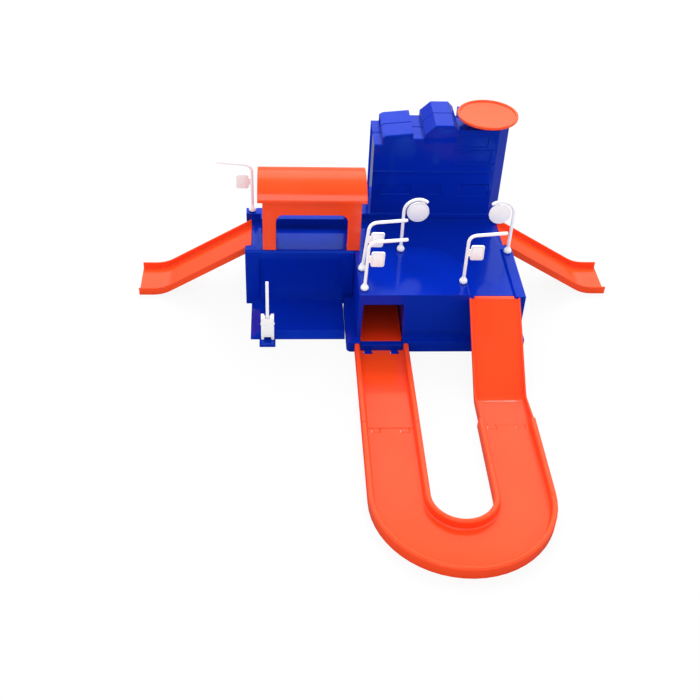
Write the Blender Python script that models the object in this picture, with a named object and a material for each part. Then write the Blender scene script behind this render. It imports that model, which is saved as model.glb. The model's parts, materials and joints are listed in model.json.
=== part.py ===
"""Toy parking garage for small die-cast cars, as separate moulded pieces.

Two hollow blocks stand side by side. The left one has a low parking bay with a barrier and an upper road
under a canopy. The right one carries a raised deck, a skyline of two halves, road signs and a tunnel.
Three ramps, a straight track and a bent track hook on to them.

Everything is drawn with x to the right, y to the back and z up, in metres. The zero point of the drawing
is the deck's front left corner on the ground, and an empty moves it all to the middle of the whole toy.
"""
import math

import bmesh
import bpy
from mathutils import Vector

# Shared walls and clearances
WALL = 0.0020
GAP = 0.0003
EMBED = 0.0006
PAST = 0.0020

# How curves, smooth shading and flat faces are treated
CORNER_SHARE = 0.45
SHARP_ANGLE = 32.0
FLAT_ANGLE = 0.5
ROUND_SIDES = 24

# Colours as red, green, blue in linear light, with a roughness
BLUE = ((0.010, 0.040, 0.560), 0.32)
ORANGE = ((0.880, 0.075, 0.018), 0.34)
LIGHT_ORANGE = ((0.900, 0.130, 0.045), 0.36)
WHITE = ((0.820, 0.820, 0.830), 0.38)
GREY = ((0.640, 0.640, 0.650), 0.45)

# Block with the raised deck
BLOCK_WIDTH = 0.1500
BLOCK_DEPTH = 0.1760
ISLAND_LEVEL = 0.0612
ROAD_LEVEL = 0.0578
ROAD_FRONT = 0.0770
ROAD_BACK = 0.1240
ROAD_WIDTH = 0.0395
ISLAND_CORNER = 0.0370
KERB_WIDTH = 0.0110
KERB_BANK = 0.0020
KERB_LEVEL = 0.0594
PLINTH_HEIGHT = 0.0115
PLINTH_STEP = 0.0052
PLINTH_LEFT_STEP = 0.0093
PLINTH_LEFT_END = 0.0629
PLINTH_CORNER = 0.0040
GROOVE_HEIGHT = 0.0080
GROOVE_DEPTH = 0.0010

# Lanes, seen from the front
LEFT_LANE = 0.0225
RIGHT_LANE_INSET = 0.0284

# Tunnel under the deck and the chute in it
TUNNEL_WIDTH = 0.0387
TUNNEL_TOP_WIDTH = 0.0358
TUNNEL_SILL = 0.0082
TUNNEL_TOP = 0.0503
CHUTE_START = 0.0008
CHUTE_LENGTH = 0.1000
CHUTE_RISE = 0.0070
CHUTE_SIDE = 0.0040
CHUTE_WALL = 0.0016
CHUTE_STOP = 0.0120
RIB_LENGTH = 0.1040

# Hooks and notches that join the tracks
HOOK_SPACING = 0.0245
HOOK_WIDTH = 0.0078
HOOK_FLARE = 0.0012
HOOK_REACH = 0.0052
HOOK_THICKNESS = 0.0016

# Parking block
PARKING_WIDTH = 0.1022
PARKING_DEPTH = 0.0678
PARKING_FRONT = 0.0672
KERB_ROUND = 0.0030
REAR_WALL_LEVEL = 0.0660
REAR_WALL_FRONT = 0.1150
REAR_CORNER_X = -0.0884
BAY_LEFT = -0.0976
BAY_RIGHT = -0.0096
BAY_FRONT = 0.0126
BAY_FLOOR = 0.0060
BAY_SIDE_SLOPE = 0.0090
BAY_FRONT_SLOPE = 0.0062
RECESS_LEFT = -0.0900
RECESS_RIGHT = -0.0105
RECESS_DEPTH = 0.0030
RECESS_TOP = 0.0540

# Tab in front of the bay and the barrier on it
TAB_LEFT = -0.0890
TAB_RIGHT = -0.0743
TAB_FRONT = 0.0016
TAB_THICKNESS = 0.0030
BARRIER_X = -0.0815
BARRIER_Y = 0.0119
BARRIER_WIDTH = 0.0118
BARRIER_DEPTH = 0.0072
BARRIER_HEIGHT = 0.0236
BARRIER_LEG_HEIGHT = 0.0031
BARRIER_LEG_WIDTH = 0.0026
BARRIER_PIVOT_LEVEL = 0.0190
BARRIER_PIVOT_OFFSET = 0.0006
BARRIER_PLATE = 0.0010
DENT_RADIUS = 0.0008
DENT_SPACING = 0.0043
DENT_LEVEL = 0.0196
DENT_DEPTH = 0.0005
BARRIER_SLOT_FLOOR = 0.0140
BARRIER_SLOT_WIDTH = 0.0036
PRONG_HEIGHT = 0.0016
PRONG_WIDTH = 0.0028
ARM_WIDTH = 0.0028
ARM_DEPTH = 0.0036
ARM_TIP_DEPTH = 0.0024
ARM_LENGTH = 0.0479
ARM_BOSS_RADIUS = 0.0028
PIN_RADIUS = 0.0010
PIN_STAND_OUT = 0.0006

# Ramps
RAMP_WIDTH = 0.0440
RAMP_WALL = 0.0016
RAMP_FLOOR = 0.0018
RAMP_RIM = 0.0078
RAMP_RUN = 0.0812
RAMP_TOE = 0.0225
RAMP_BEND = 0.0340
RAMP_TOP = 0.0486
RAMP_SEAT = 0.0052
SILL_SLOPE = 0.0075
LEFT_RAMP_Y = 0.1031
RIGHT_RAMP_Y = 0.1060
FRONT_RAMP_WIDTH = 0.0459
FRONT_RAMP_RUN = 0.0730
FRONT_RAMP_TOE = 0.0302
FRONT_RAMP_BEND = 0.0130
FRONT_RAMP_RIM = 0.0012
FRONT_RAMP_TOE_RIM = 0.0088
FRONT_TONGUE_WIDTH = 0.0360
FRONT_TONGUE_LENGTH = 0.0040
BEND_STEPS = 5

# Flat tracks on the ground
TRACK_WIDTH = 0.0492
TRACK_WALL = 0.0046
TRACK_HEIGHT = 0.0105
TRACK_FLOOR = 0.0022
TRACK_FILLET = 0.0012
TRACK_CROWN = 0.0018
TRACK_SKIN = 0.0014
TRACK_START = -0.0056
STRAIGHT_LENGTH = 0.1014
LEG_END = -0.1880
BEND_SEGMENTS = 28

# Canopy over the upper road
CANOPY_LEFT = -0.0858
CANOPY_RIGHT = 0.0045
CANOPY_FRONT = 0.0690
CANOPY_BACK = 0.1212
CANOPY_OVERHANG = 0.0030
CANOPY_SIDE_OVERHANG = 0.0045
CANOPY_WALL = 0.0020
EAVE_LEVEL = 0.1138
EAVE_HEIGHT = 0.0030
ROOF_RISE = 0.0112
ROOF_STEPS = 18
ARCH_TOP = 0.0996
ARCH_CORNER_WIDTH = 0.0060
ARCH_CORNER_HEIGHT = 0.0080
ARCH_STEPS = 4
LEG_WIDTH = 0.0122
SIDE_LEG_WIDTH = 0.0084
REAR_LEG_WIDTH = 0.0040
CANOPY_PEG_WIDTH = 0.0050
CANOPY_PEG_LENGTH = 0.0012
CANOPY_PEG_THICKNESS = 0.0012

# Skyline standing on the deck, as a front half and a back half
TOWER_LEFT = 0.0177
TOWER_INSET = 0.0052
TOWER_FRONT = 0.1262
TOWER_SEAM = 0.1501
TOWER_BACK = 0.1740
TOWER_WALL = 0.0020
TOWER_FOOT_HEIGHT = 0.0050
TOWER_FOOT_STEP = 0.0018
TOWER_FOOT_LEFT = 0.0080
STEP_TOP = 0.1410
OFFICE_LEFT = 0.0253
OFFICE_RIGHT = 0.0537
OFFICE_EAVE = 0.1480
OFFICE_CORNER = 0.0032
OFFICE_LOW = 0.1500
OFFICE_HIGH = 0.1526
LINK_TOP = 0.1472
ROUND_LEFT = 0.0640
ROUND_RIGHT = 0.0955
ROUND_EAVE = 0.1528
ROUND_TOP = 0.1620
ROUND_CORNER = 0.0098
ROUND_RIGHT_CORNER = 0.0050
ROUND_STAND_OUT = 0.0022
ROUND_FOOT = 0.1400
ROUND_UNDERCUT = 0.0080
HOTEL_BACK_LEFT = 0.1000
HOTEL_TOP = 0.1570
HOTEL_CORNER = 0.0110
LEDGE_LEVEL = 0.1120
LEDGE_HEIGHT = 0.0014
LEDGE_STEP = 0.0010
BAND_LEVELS = (0.1352, 0.1203)
BAND_LEFT = 0.0940
WINDOW_DEPTH = 0.0009
WINDOWS = (
    (0.0969, 0.1246, 0.1393, 0.1504),
    (0.0988, 0.1286, 0.1234, 0.1338),
    (0.0255, 0.0552, 0.0877, 0.0985),
    (0.0688, 0.0844, 0.0879, 0.0989),
    (0.1026, 0.1310, 0.0861, 0.0992),
)
TOWER_TAB_WIDTH = 0.0180
TOWER_TAB_THICKNESS = 0.0018
TOWER_TAB_LENGTH = 0.0050
TOWER_TAB_LEFT = 0.0243
TOWER_TAB_RIGHT = 0.0268

# Landing pad on the skyline
PAD_INSET = 0.0225
PAD_Y = 0.1349
PAD_STEM_HEIGHT = 0.0094
PAD_RADIUS = 0.0282
PAD_THICKNESS = 0.0030
PAD_RIM_WIDTH = 0.0022
PAD_RIM_DEPTH = 0.0013
PAD_STEM_RADIUS = 0.0060
PAD_PEG_RADIUS = 0.0030
PAD_PEG_LENGTH = 0.0060
PAD_SIDES = 48

# Road signs and round mirrors on plugged-in posts
POST_RADIUS = 0.0015
PEG_RADIUS = 0.0013
PEG_LENGTH = 0.0060
SOCKET_WALL = 0.0016
FOOT_RADIUS = 0.0037
FOOT_HEIGHT = 0.0066
# The foot's swelling, as shares of its radius and height from the ground up
FOOT_SWELL = ((0.84, 0.0), (1.0, 0.22), (0.92, 0.48), (0.62, 0.72))
POST_START = 0.0040
SIGN_HEIGHT = 0.0500
SIGN_ARM = 0.0338
SIGN_ARM_RISE = 0.0032
SIGN_BEND = 0.0055
PLATE_START = 0.0030
PLATE_WIDTH = 0.0120
PLATE_HEIGHT = 0.0150
PLATE_LOW = 0.0250
PLATE_THICKNESS = 0.0020
PLATE_CORNER = 0.0020
PLATE_RIM = 0.0009
WEB_THICKNESS = 0.0012
WEB_MARGIN = 0.0040
LABEL_DEPTH = 0.0007
MIRROR_HEIGHT = 0.0424
MIRROR_REACH = 0.0130
MIRROR_RADIUS = 0.0102
MIRROR_THICKNESS = 0.0020
MIRROR_SIDES = 28
MIRROR_WEB_ANGLES = (58.0, 80.0)
HOOK_END_ANGLE = 48.0
POST_SIDES = 10
# Places of the posts, and how far a sign's top leans
DECK_SIDE_SIGN_X = 0.0047
DECK_SIDE_SIGN_Y = 0.0387
DECK_SIDE_SIGN_LEAN = 0.0046
DECK_CORNER_SIGN_X = 0.0051
DECK_CORNER_SIGN_Y = 0.0084
DECK_CORNER_SIGN_LEAN = 0.0016
RAMP_TOP_SIGN_INSET = 0.0043
RAMP_TOP_SIGN_Y = 0.0190
PARKING_SIGN_INSET = 0.0060
PARKING_SIGN_Y = 0.1295
DECK_MIRROR_X = 0.0429
DECK_MIRROR_Y = 0.0696
KERB_MIRROR_INSET = 0.0052
KERB_MIRROR_Y = 0.0698

# Values worked out from the sizes above
KERB_INNER = BLOCK_WIDTH - KERB_WIDTH
ISLAND_WIDTH = KERB_INNER - ROAD_WIDTH
RIGHT_LANE = BLOCK_WIDTH - RIGHT_LANE_INSET
TOWER_RIGHT = BLOCK_WIDTH - TOWER_INSET
TOWER_FOOT_RIGHT = TOWER_RIGHT + TOWER_FOOT_STEP
TOWER_TAB_PLACES = (TOWER_LEFT + TOWER_TAB_LEFT, TOWER_RIGHT - TOWER_TAB_RIGHT)
PAD_X = TOWER_RIGHT - PAD_INSET
PAD_TOP = HOTEL_TOP + GAP + PAD_STEM_HEIGHT + PAD_THICKNESS
PARKING_LEFT = -GAP - PARKING_WIDTH
PARKING_BACK = PARKING_FRONT + PARKING_DEPTH
DECK_UNDERSIDE = ROAD_LEVEL - WALL
STRAIGHT_END = TRACK_START - STRAIGHT_LENGTH
FRONT_RAMP_END = -GAP - FRONT_RAMP_RUN - FRONT_RAMP_TOE
RIGHT_LEG_START = FRONT_RAMP_END - GAP
BEND_RADIUS = (RIGHT_LANE - LEFT_LANE) / 2
BEND_X = (RIGHT_LANE + LEFT_LANE) / 2
RAMP_FALL = RAMP_TOP / RAMP_RUN
RAMP_REACH = RAMP_RUN + RAMP_TOE
LEFT_EXTENT = PARKING_LEFT - RAMP_REACH
RIGHT_EXTENT = BLOCK_WIDTH + RAMP_REACH
FRONT_EXTENT = LEG_END - BEND_RADIUS - TRACK_WIDTH / 2
BACK_EXTENT = BLOCK_DEPTH
TAB_SHIFT = TOWER_WALL + TOWER_TAB_THICKNESS / 2
TAB_ROWS = (TOWER_FRONT + TAB_SHIFT, TOWER_BACK - TAB_SHIFT)
BARRIER_PIVOT_Y = BARRIER_Y + BARRIER_PIVOT_OFFSET

# Where each post stands: x, y, the way its arm points in degrees, and how far a sign's top leans
SIGNS = {
    "deck_side_sign": (DECK_SIDE_SIGN_X, DECK_SIDE_SIGN_Y, 0.0, DECK_SIDE_SIGN_LEAN),
    "deck_corner_sign": (DECK_CORNER_SIGN_X, DECK_CORNER_SIGN_Y, 0.0, DECK_CORNER_SIGN_LEAN),
    "ramp_top_sign": (ISLAND_WIDTH - RAMP_TOP_SIGN_INSET, RAMP_TOP_SIGN_Y, 0.0, 0.0),
    "parking_sign": (PARKING_LEFT + PARKING_SIGN_INSET, PARKING_SIGN_Y, 180.0, 0.0),
}
MIRRORS = {
    "deck_mirror": (DECK_MIRROR_X, DECK_MIRROR_Y, 0.0),
    "kerb_mirror": (BLOCK_WIDTH - KERB_MIRROR_INSET, KERB_MIRROR_Y, 180.0),
}

MIDDLE = ((LEFT_EXTENT + RIGHT_EXTENT) / 2, (FRONT_EXTENT + BACK_EXTENT) / 2)


def clear_scene():
    """Remove what the new file holds."""
    for item in list(bpy.data.objects):
        bpy.data.objects.remove(item, do_unlink=True)


def finish_material(name, look):
    """Return a plain moulded plastic with the look's colour and roughness."""
    colour, roughness = look
    plastic = bpy.data.materials.new(name)
    plastic.use_nodes = True
    shader = plastic.node_tree.nodes["Principled BSDF"]
    shader.inputs["Base Color"].default_value = (*colour, 1.0)
    shader.inputs["Roughness"].default_value = roughness
    shader.inputs["Metallic"].default_value = 0.0
    plastic.diffuse_color = (*colour, 1.0)
    return plastic


def mesh_object(name, bm):
    """Turn a bmesh into a linked object with its faces pointing out."""
    bmesh.ops.recalc_face_normals(bm, faces=bm.faces)
    mesh = bpy.data.meshes.new(name)
    bm.to_mesh(mesh)
    bm.free()
    item = bpy.data.objects.new(name, mesh)
    bpy.context.scene.collection.objects.link(item)
    return item


def prism(axis, outline, start, end):
    """Extrude a flat outline along an axis, with the outline in the other two axes in x, y, z order."""
    place = {
        "X": lambda a, b, c: (c, a, b),
        "Y": lambda a, b, c: (a, c, b),
        "Z": lambda a, b, c: (a, b, c),
    }[axis]
    bm = bmesh.new()
    low = [bm.verts.new(place(a, b, start)) for a, b in outline]
    high = [bm.verts.new(place(a, b, end)) for a, b in outline]
    bm.faces.new(low)
    bm.faces.new(list(reversed(high)))
    count = len(outline)
    for i in range(count):
        j = (i + 1) % count
        bm.faces.new((low[i], high[i], high[j], low[j]))
    return mesh_object("prism", bm)


def box(x, y, z):
    """Return a block between pairs of limits."""
    outline = [(x[0], y[0]), (x[1], y[0]), (x[1], y[1]), (x[0], y[1])]
    return prism("Z", outline, z[0], z[1])


def circle(centre, radius, sides):
    """Return the corners of a regular outline round a centre."""
    turns = [2 * math.pi * (i + 0.5) / sides for i in range(sides)]
    return [(centre[0] + radius * math.cos(t), centre[1] + radius * math.sin(t)) for t in turns]


def rod(axis, centre, radius, start, end, sides=16):
    """Return a round bar along an axis."""
    return prism(axis, circle(centre, radius, sides), start, end)


def arc(centre, radius, first, last, steps):
    """Return points along an arc given in degrees."""
    angles = [math.radians(first + (last - first) * i / steps) for i in range(steps + 1)]
    return [(centre[0] + radius * math.cos(a), centre[1] + radius * math.sin(a)) for a in angles]


def rounded(points, radius, steps=4, closed=True):
    """Replace each corner of a path by an arc of the radius, as far as its sides allow."""
    result = []
    count = len(points)
    for i, corner in enumerate(points):
        if not closed and i in (0, count - 1):
            result.append(tuple(corner))
            continue
        here = Vector(corner)
        before = Vector(points[i - 1]) - here
        after = Vector(points[(i + 1) % count]) - here
        half = before.angle(after) / 2
        run = min(radius / math.tan(half), before.length * CORNER_SHARE, after.length * CORNER_SHARE)
        start = here + before.normalized() * run
        end = here + after.normalized() * run
        size = run * math.tan(half)
        centre = here + (before.normalized() + after.normalized()).normalized() * (size / math.sin(half))
        for k in range(steps + 1):
            spoke = (start - centre).lerp(end - centre, k / steps)
            spot = centre + spoke.normalized() * size
            result.append((spot.x, spot.y))
    return result


def turned(profile, sides):
    """Spin a profile of radius and height about the z axis into a closed body."""
    bm = bmesh.new()
    rings = []
    for radius, height in profile:
        if radius == 0.0:
            rings.append([bm.verts.new((0.0, 0.0, height))])
            continue
        rings.append([bm.verts.new((a, b, height)) for a, b in circle((0.0, 0.0), radius, sides)])
    for lower, upper in zip(rings, rings[1:]):
        for i in range(sides):
            j = (i + 1) % sides
            corners = [lower[i % len(lower)], lower[j % len(lower)]]
            corners += [upper[j % len(upper)], upper[i % len(upper)]]
            bm.faces.new(list(dict.fromkeys(corners)))
    return mesh_object("turned", bm)


def tube(path, radius, sides):
    """Carry a round section along a path of x and z in the plane y = 0, with flat ends."""
    bm = bmesh.new()
    rings = []
    for i, spot in enumerate(path):
        before = Vector(path[max(i - 1, 0)])
        after = Vector(path[min(i + 1, len(path) - 1)])
        along = (after - before).normalized()
        across = Vector((along.y, -along.x))
        ring = []
        for a, b in circle((0.0, 0.0), radius, sides):
            ring.append(bm.verts.new((spot[0] + across.x * a, b, spot[1] + across.y * a)))
        rings.append(ring)
    for lower, upper in zip(rings, rings[1:]):
        for i in range(sides):
            j = (i + 1) % sides
            bm.faces.new((lower[i], lower[j], upper[j], upper[i]))
    bm.faces.new(rings[0])
    bm.faces.new(list(reversed(rings[-1])))
    return mesh_object("tube", bm)


def sweep(section, path):
    """Carry a section of across and up along a level path of points with their directions."""
    bm = bmesh.new()
    rings = []
    for (x, y), (dx, dy) in path:
        rings.append([bm.verts.new((x + dy * a, y - dx * a, up)) for a, up in section])
    count = len(section)
    for lower, upper in zip(rings, rings[1:]):
        for i in range(count):
            j = (i + 1) % count
            bm.faces.new((lower[i], lower[j], upper[j], upper[i]))
    bm.faces.new(rings[0])
    bm.faces.new(list(reversed(rings[-1])))
    return mesh_object("sweep", bm)


def combine(body, tools, operation):
    """Join tools to a body or cut them from it, and remove the tools."""
    for tool in tools:
        step = body.modifiers.new("step", "BOOLEAN")
        step.operation = operation
        step.solver = "EXACT"
        step.object = tool
        state = bpy.context.evaluated_depsgraph_get()
        mesh = bpy.data.meshes.new_from_object(body.evaluated_get(state))
        old = body.data
        body.modifiers.clear()
        body.data = mesh
        bpy.data.meshes.remove(old)
        bpy.data.objects.remove(tool, do_unlink=True)
    return body


def add(body, *tools):
    """Join shapes to a body."""
    return combine(body, tools, "UNION")


def cut(body, *tools):
    """Take shapes away from a body."""
    return combine(body, tools, "DIFFERENCE")


def finish(item, name, look, parent, pivot=(0.0, 0.0, 0.0)):
    """Clean a body, name it, colour it, set its origin on its pivot and hang it on its parent."""
    bm = bmesh.new()
    bm.from_mesh(item.data)
    bmesh.ops.remove_doubles(bm, verts=bm.verts, dist=1e-6)
    bmesh.ops.dissolve_limit(bm, angle_limit=math.radians(FLAT_ANGLE), verts=bm.verts, edges=bm.edges)
    bmesh.ops.translate(bm, verts=bm.verts, vec=-Vector(pivot))
    bm.to_mesh(item.data)
    bm.free()
    item.name = name
    item.data.name = name
    item.data.materials.clear()
    item.data.materials.append(finish_material(name + "_plastic", look))
    item.data.shade_smooth()
    item.data.set_sharp_from_angle(angle=math.radians(SHARP_ANGLE))
    item.parent = parent
    item.location = pivot
    return item


def hooks(direction, x, y, length):
    """Return the outlines of a pair of dovetail hooks at a lane's end, reaching along y."""
    shapes = []
    for side in (-0.5, 0.5):
        middle = x + side * HOOK_SPACING
        root = HOOK_WIDTH / 2 - HOOK_FLARE
        tip = HOOK_WIDTH / 2
        inner = y - direction * EMBED
        outer = y + direction * length
        near = [(middle - root, inner), (middle + root, inner)]
        far = [(middle + tip, outer), (middle - tip, outer)]
        shapes.append(near + far)
    return shapes


def grown(outline, amount):
    """Return a four-cornered outline with every corner moved out by an amount along x and y."""
    middle_x = sum(a for a, _ in outline) / len(outline)
    middle_y = sum(b for _, b in outline) / len(outline)
    result = []
    for a, b in outline:
        result.append((a + math.copysign(amount, a - middle_x), b + math.copysign(amount, b - middle_y)))
    return result


def hook_bodies(direction, x, y):
    """Return solid hooks that lie on the ground beyond a lane's end."""
    return [prism("Z", shape, GAP, HOOK_THICKNESS + GAP) for shape in hooks(direction, x, y, HOOK_REACH)]


def hook_notches(direction, x, y):
    """Return cutters for the notches that take a pair of hooks."""
    top = TRACK_FLOOR + PAST
    return [prism("Z", grown(shape, GAP), -PAST, top) for shape in hooks(direction, x, y, HOOK_REACH)]


def socket_bosses(places, top):
    """Return the bosses under a deck that hold the pegs of posts."""
    radius = PEG_RADIUS + GAP + SOCKET_WALL
    return [rod("Z", place, radius, top - PEG_LENGTH - GAP - EMBED, top - EMBED) for place in places]


def socket_holes(places, top):
    """Return cutters for the holes that take the pegs of posts."""
    return [rod("Z", place, PEG_RADIUS + GAP, top - PEG_LENGTH * 2, top + PAST) for place in places]


def post_level(name):
    """Return the level of the surface that a post's foot stands on."""
    levels = {"parking_sign": REAR_WALL_LEVEL, "kerb_mirror": KERB_LEVEL}
    return levels.get(name, ISLAND_LEVEL)


def island_outline(inset):
    """Return the raised island's outline, drawn in by an inset, with its one large round corner."""
    low = inset
    right = ISLAND_WIDTH - inset
    back = ROAD_FRONT - inset
    radius = ISLAND_CORNER - inset
    curve = arc((right - radius, back - radius), radius, 0.0, 90.0, 8)
    return [(low, low), (right, low), *curve, (low, back)]


def ramp_seat(face, outward, y):
    """Return a cutter for the sloping bed and sill that take a side ramp's upper end."""
    half = RAMP_WIDTH / 2 + GAP
    high = ISLAND_LEVEL + PAST
    deep = RAMP_SEAT + GAP
    bed = [
        (face + outward * PAST, RAMP_TOP - PAST * RAMP_FALL - GAP),
        (face - outward * deep, RAMP_TOP + deep * RAMP_FALL - GAP),
        (face - outward * deep, high),
        (face + outward * PAST, high),
    ]
    lip = RAMP_TOP + deep * RAMP_FALL + RAMP_FLOOR
    slope = [
        (face - outward * (deep - EMBED), lip),
        (face - outward * (deep + SILL_SLOPE), ROAD_LEVEL),
        (face - outward * (deep + SILL_SLOPE), high),
        (face - outward * (deep - EMBED), high),
    ]
    inside = half - RAMP_WALL
    return [prism("Y", bed, y - half, y + half), prism("Y", slope, y - inside, y + inside)]


def seat_backing(face, outward, y):
    """Return the thicker deck under a ramp's bed."""
    x = sorted((face - outward * EMBED, face - outward * (RAMP_SEAT + SILL_SLOPE + WALL)))
    half = RAMP_WIDTH / 2 + WALL
    low = RAMP_TOP - WALL - GAP
    return box(x, (y - half, y + half), (low, DECK_UNDERSIDE + EMBED))


def garage_block(parent):
    """Build the right block: hollow shell, plinth, island, road, kerb, tunnel mouth and sockets."""
    body = box((0.0, BLOCK_WIDTH), (0.0, BLOCK_DEPTH), (0.0, ISLAND_LEVEL))
    right = BLOCK_WIDTH + PLINTH_STEP
    plinth = [
        (-PLINTH_LEFT_STEP, -PLINTH_STEP),
        (right, -PLINTH_STEP),
        (right, BLOCK_DEPTH),
        (EMBED, BLOCK_DEPTH),
        (EMBED, PLINTH_LEFT_END),
        (-PLINTH_LEFT_STEP, PLINTH_LEFT_END),
    ]
    add(body, prism("Z", rounded(plinth, PLINTH_CORNER), 0.0, PLINTH_HEIGHT))
    past_x = (-PAST, BLOCK_WIDTH + PAST)
    middle = (ISLAND_WIDTH - ISLAND_CORNER, ROAD_FRONT - ISLAND_CORNER)
    road = [
        (-PAST, ROAD_FRONT),
        *arc(middle, ISLAND_CORNER, 90.0, 0.0, 8),
        (ISLAND_WIDTH, -PAST),
        (past_x[1], -PAST),
        (past_x[1], ROAD_BACK),
        (-PAST, ROAD_BACK),
    ]
    cut(body, prism("Z", road, ROAD_LEVEL, ISLAND_LEVEL + PAST))
    kerb = [
        (KERB_INNER, ROAD_LEVEL - EMBED),
        (BLOCK_WIDTH, ROAD_LEVEL - EMBED),
        (BLOCK_WIDTH, KERB_LEVEL),
        (KERB_INNER + KERB_BANK, KERB_LEVEL),
        (KERB_INNER, ROAD_LEVEL),
    ]
    add(body, prism("Y", kerb, 0.0, ROAD_FRONT))
    mouth_left = LEFT_LANE - TUNNEL_WIDTH / 2
    mouth_right = LEFT_LANE + TUNNEL_WIDTH / 2
    groove = (PLINTH_HEIGHT, PLINTH_HEIGHT + GROOVE_HEIGHT)
    groove_end = RIGHT_LANE - FRONT_RAMP_WIDTH / 2
    cut(body, box((mouth_right + WALL, groove_end), (-PAST, GROOVE_DEPTH), groove))
    hollow_x = (WALL, BLOCK_WIDTH - WALL)
    cut(body, box(hollow_x, (WALL, BLOCK_DEPTH - WALL), (-PAST, DECK_UNDERSIDE)))
    cut(body, prism("Z", island_outline(WALL), DECK_UNDERSIDE - PAST, ISLAND_LEVEL - WALL))
    rear = (ROAD_BACK + WALL, BLOCK_DEPTH - WALL)
    cut(body, box(hollow_x, rear, (DECK_UNDERSIDE - PAST, ISLAND_LEVEL - WALL)))
    add(body, seat_backing(BLOCK_WIDTH, 1.0, RIGHT_RAMP_Y))
    cut(body, *ramp_seat(BLOCK_WIDTH, 1.0, RIGHT_RAMP_Y))
    tongue = (RIGHT_LANE - FRONT_TONGUE_WIDTH / 2, RIGHT_LANE + FRONT_TONGUE_WIDTH / 2)
    bed = ROAD_LEVEL - RAMP_FLOOR - GAP
    backing = (tongue[0] - WALL, tongue[1] + WALL)
    add(body, box(backing, (EMBED, FRONT_TONGUE_LENGTH + WALL), (bed - WALL, DECK_UNDERSIDE + EMBED)))
    notch = (tongue[0] - GAP, tongue[1] + GAP)
    cut(body, box(notch, (-PAST, FRONT_TONGUE_LENGTH), (bed, ROAD_LEVEL + PAST)))
    rib = (mouth_right + GAP, mouth_right + GAP + WALL)
    add(body, box(rib, (WALL - EMBED, RIB_LENGTH), (GAP, DECK_UNDERSIDE + EMBED)))
    top_half = TUNNEL_TOP_WIDTH / 2
    mouth = [
        (mouth_left, TUNNEL_SILL),
        (mouth_right, TUNNEL_SILL),
        (LEFT_LANE + top_half, TUNNEL_TOP),
        (LEFT_LANE - top_half, TUNNEL_TOP),
    ]
    cut(body, prism("Y", mouth, -PLINTH_STEP - PAST, WALL + PAST))
    lip = (TUNNEL_SILL - CHUTE_WALL - GAP, TUNNEL_SILL + PAST)
    cut(body, box((mouth_left, mouth_right), (CHUTE_START - GAP, WALL + PAST), lip))
    for name, spot in (SIGNS | MIRRORS).items():
        if name != "parking_sign":
            top = post_level(name)
            add(body, *socket_bosses([spot[:2]], top))
            cut(body, *socket_holes([spot[:2]], top))
    for y in TAB_ROWS:
        cut(body, *tower_tabs(y, GAP, ISLAND_LEVEL - WALL - PAST, ISLAND_LEVEL + PAST))
    add(body, *hook_bodies(-1.0, LEFT_LANE, -PLINTH_STEP))
    return finish(body, "garage_block", BLUE, parent)


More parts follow.
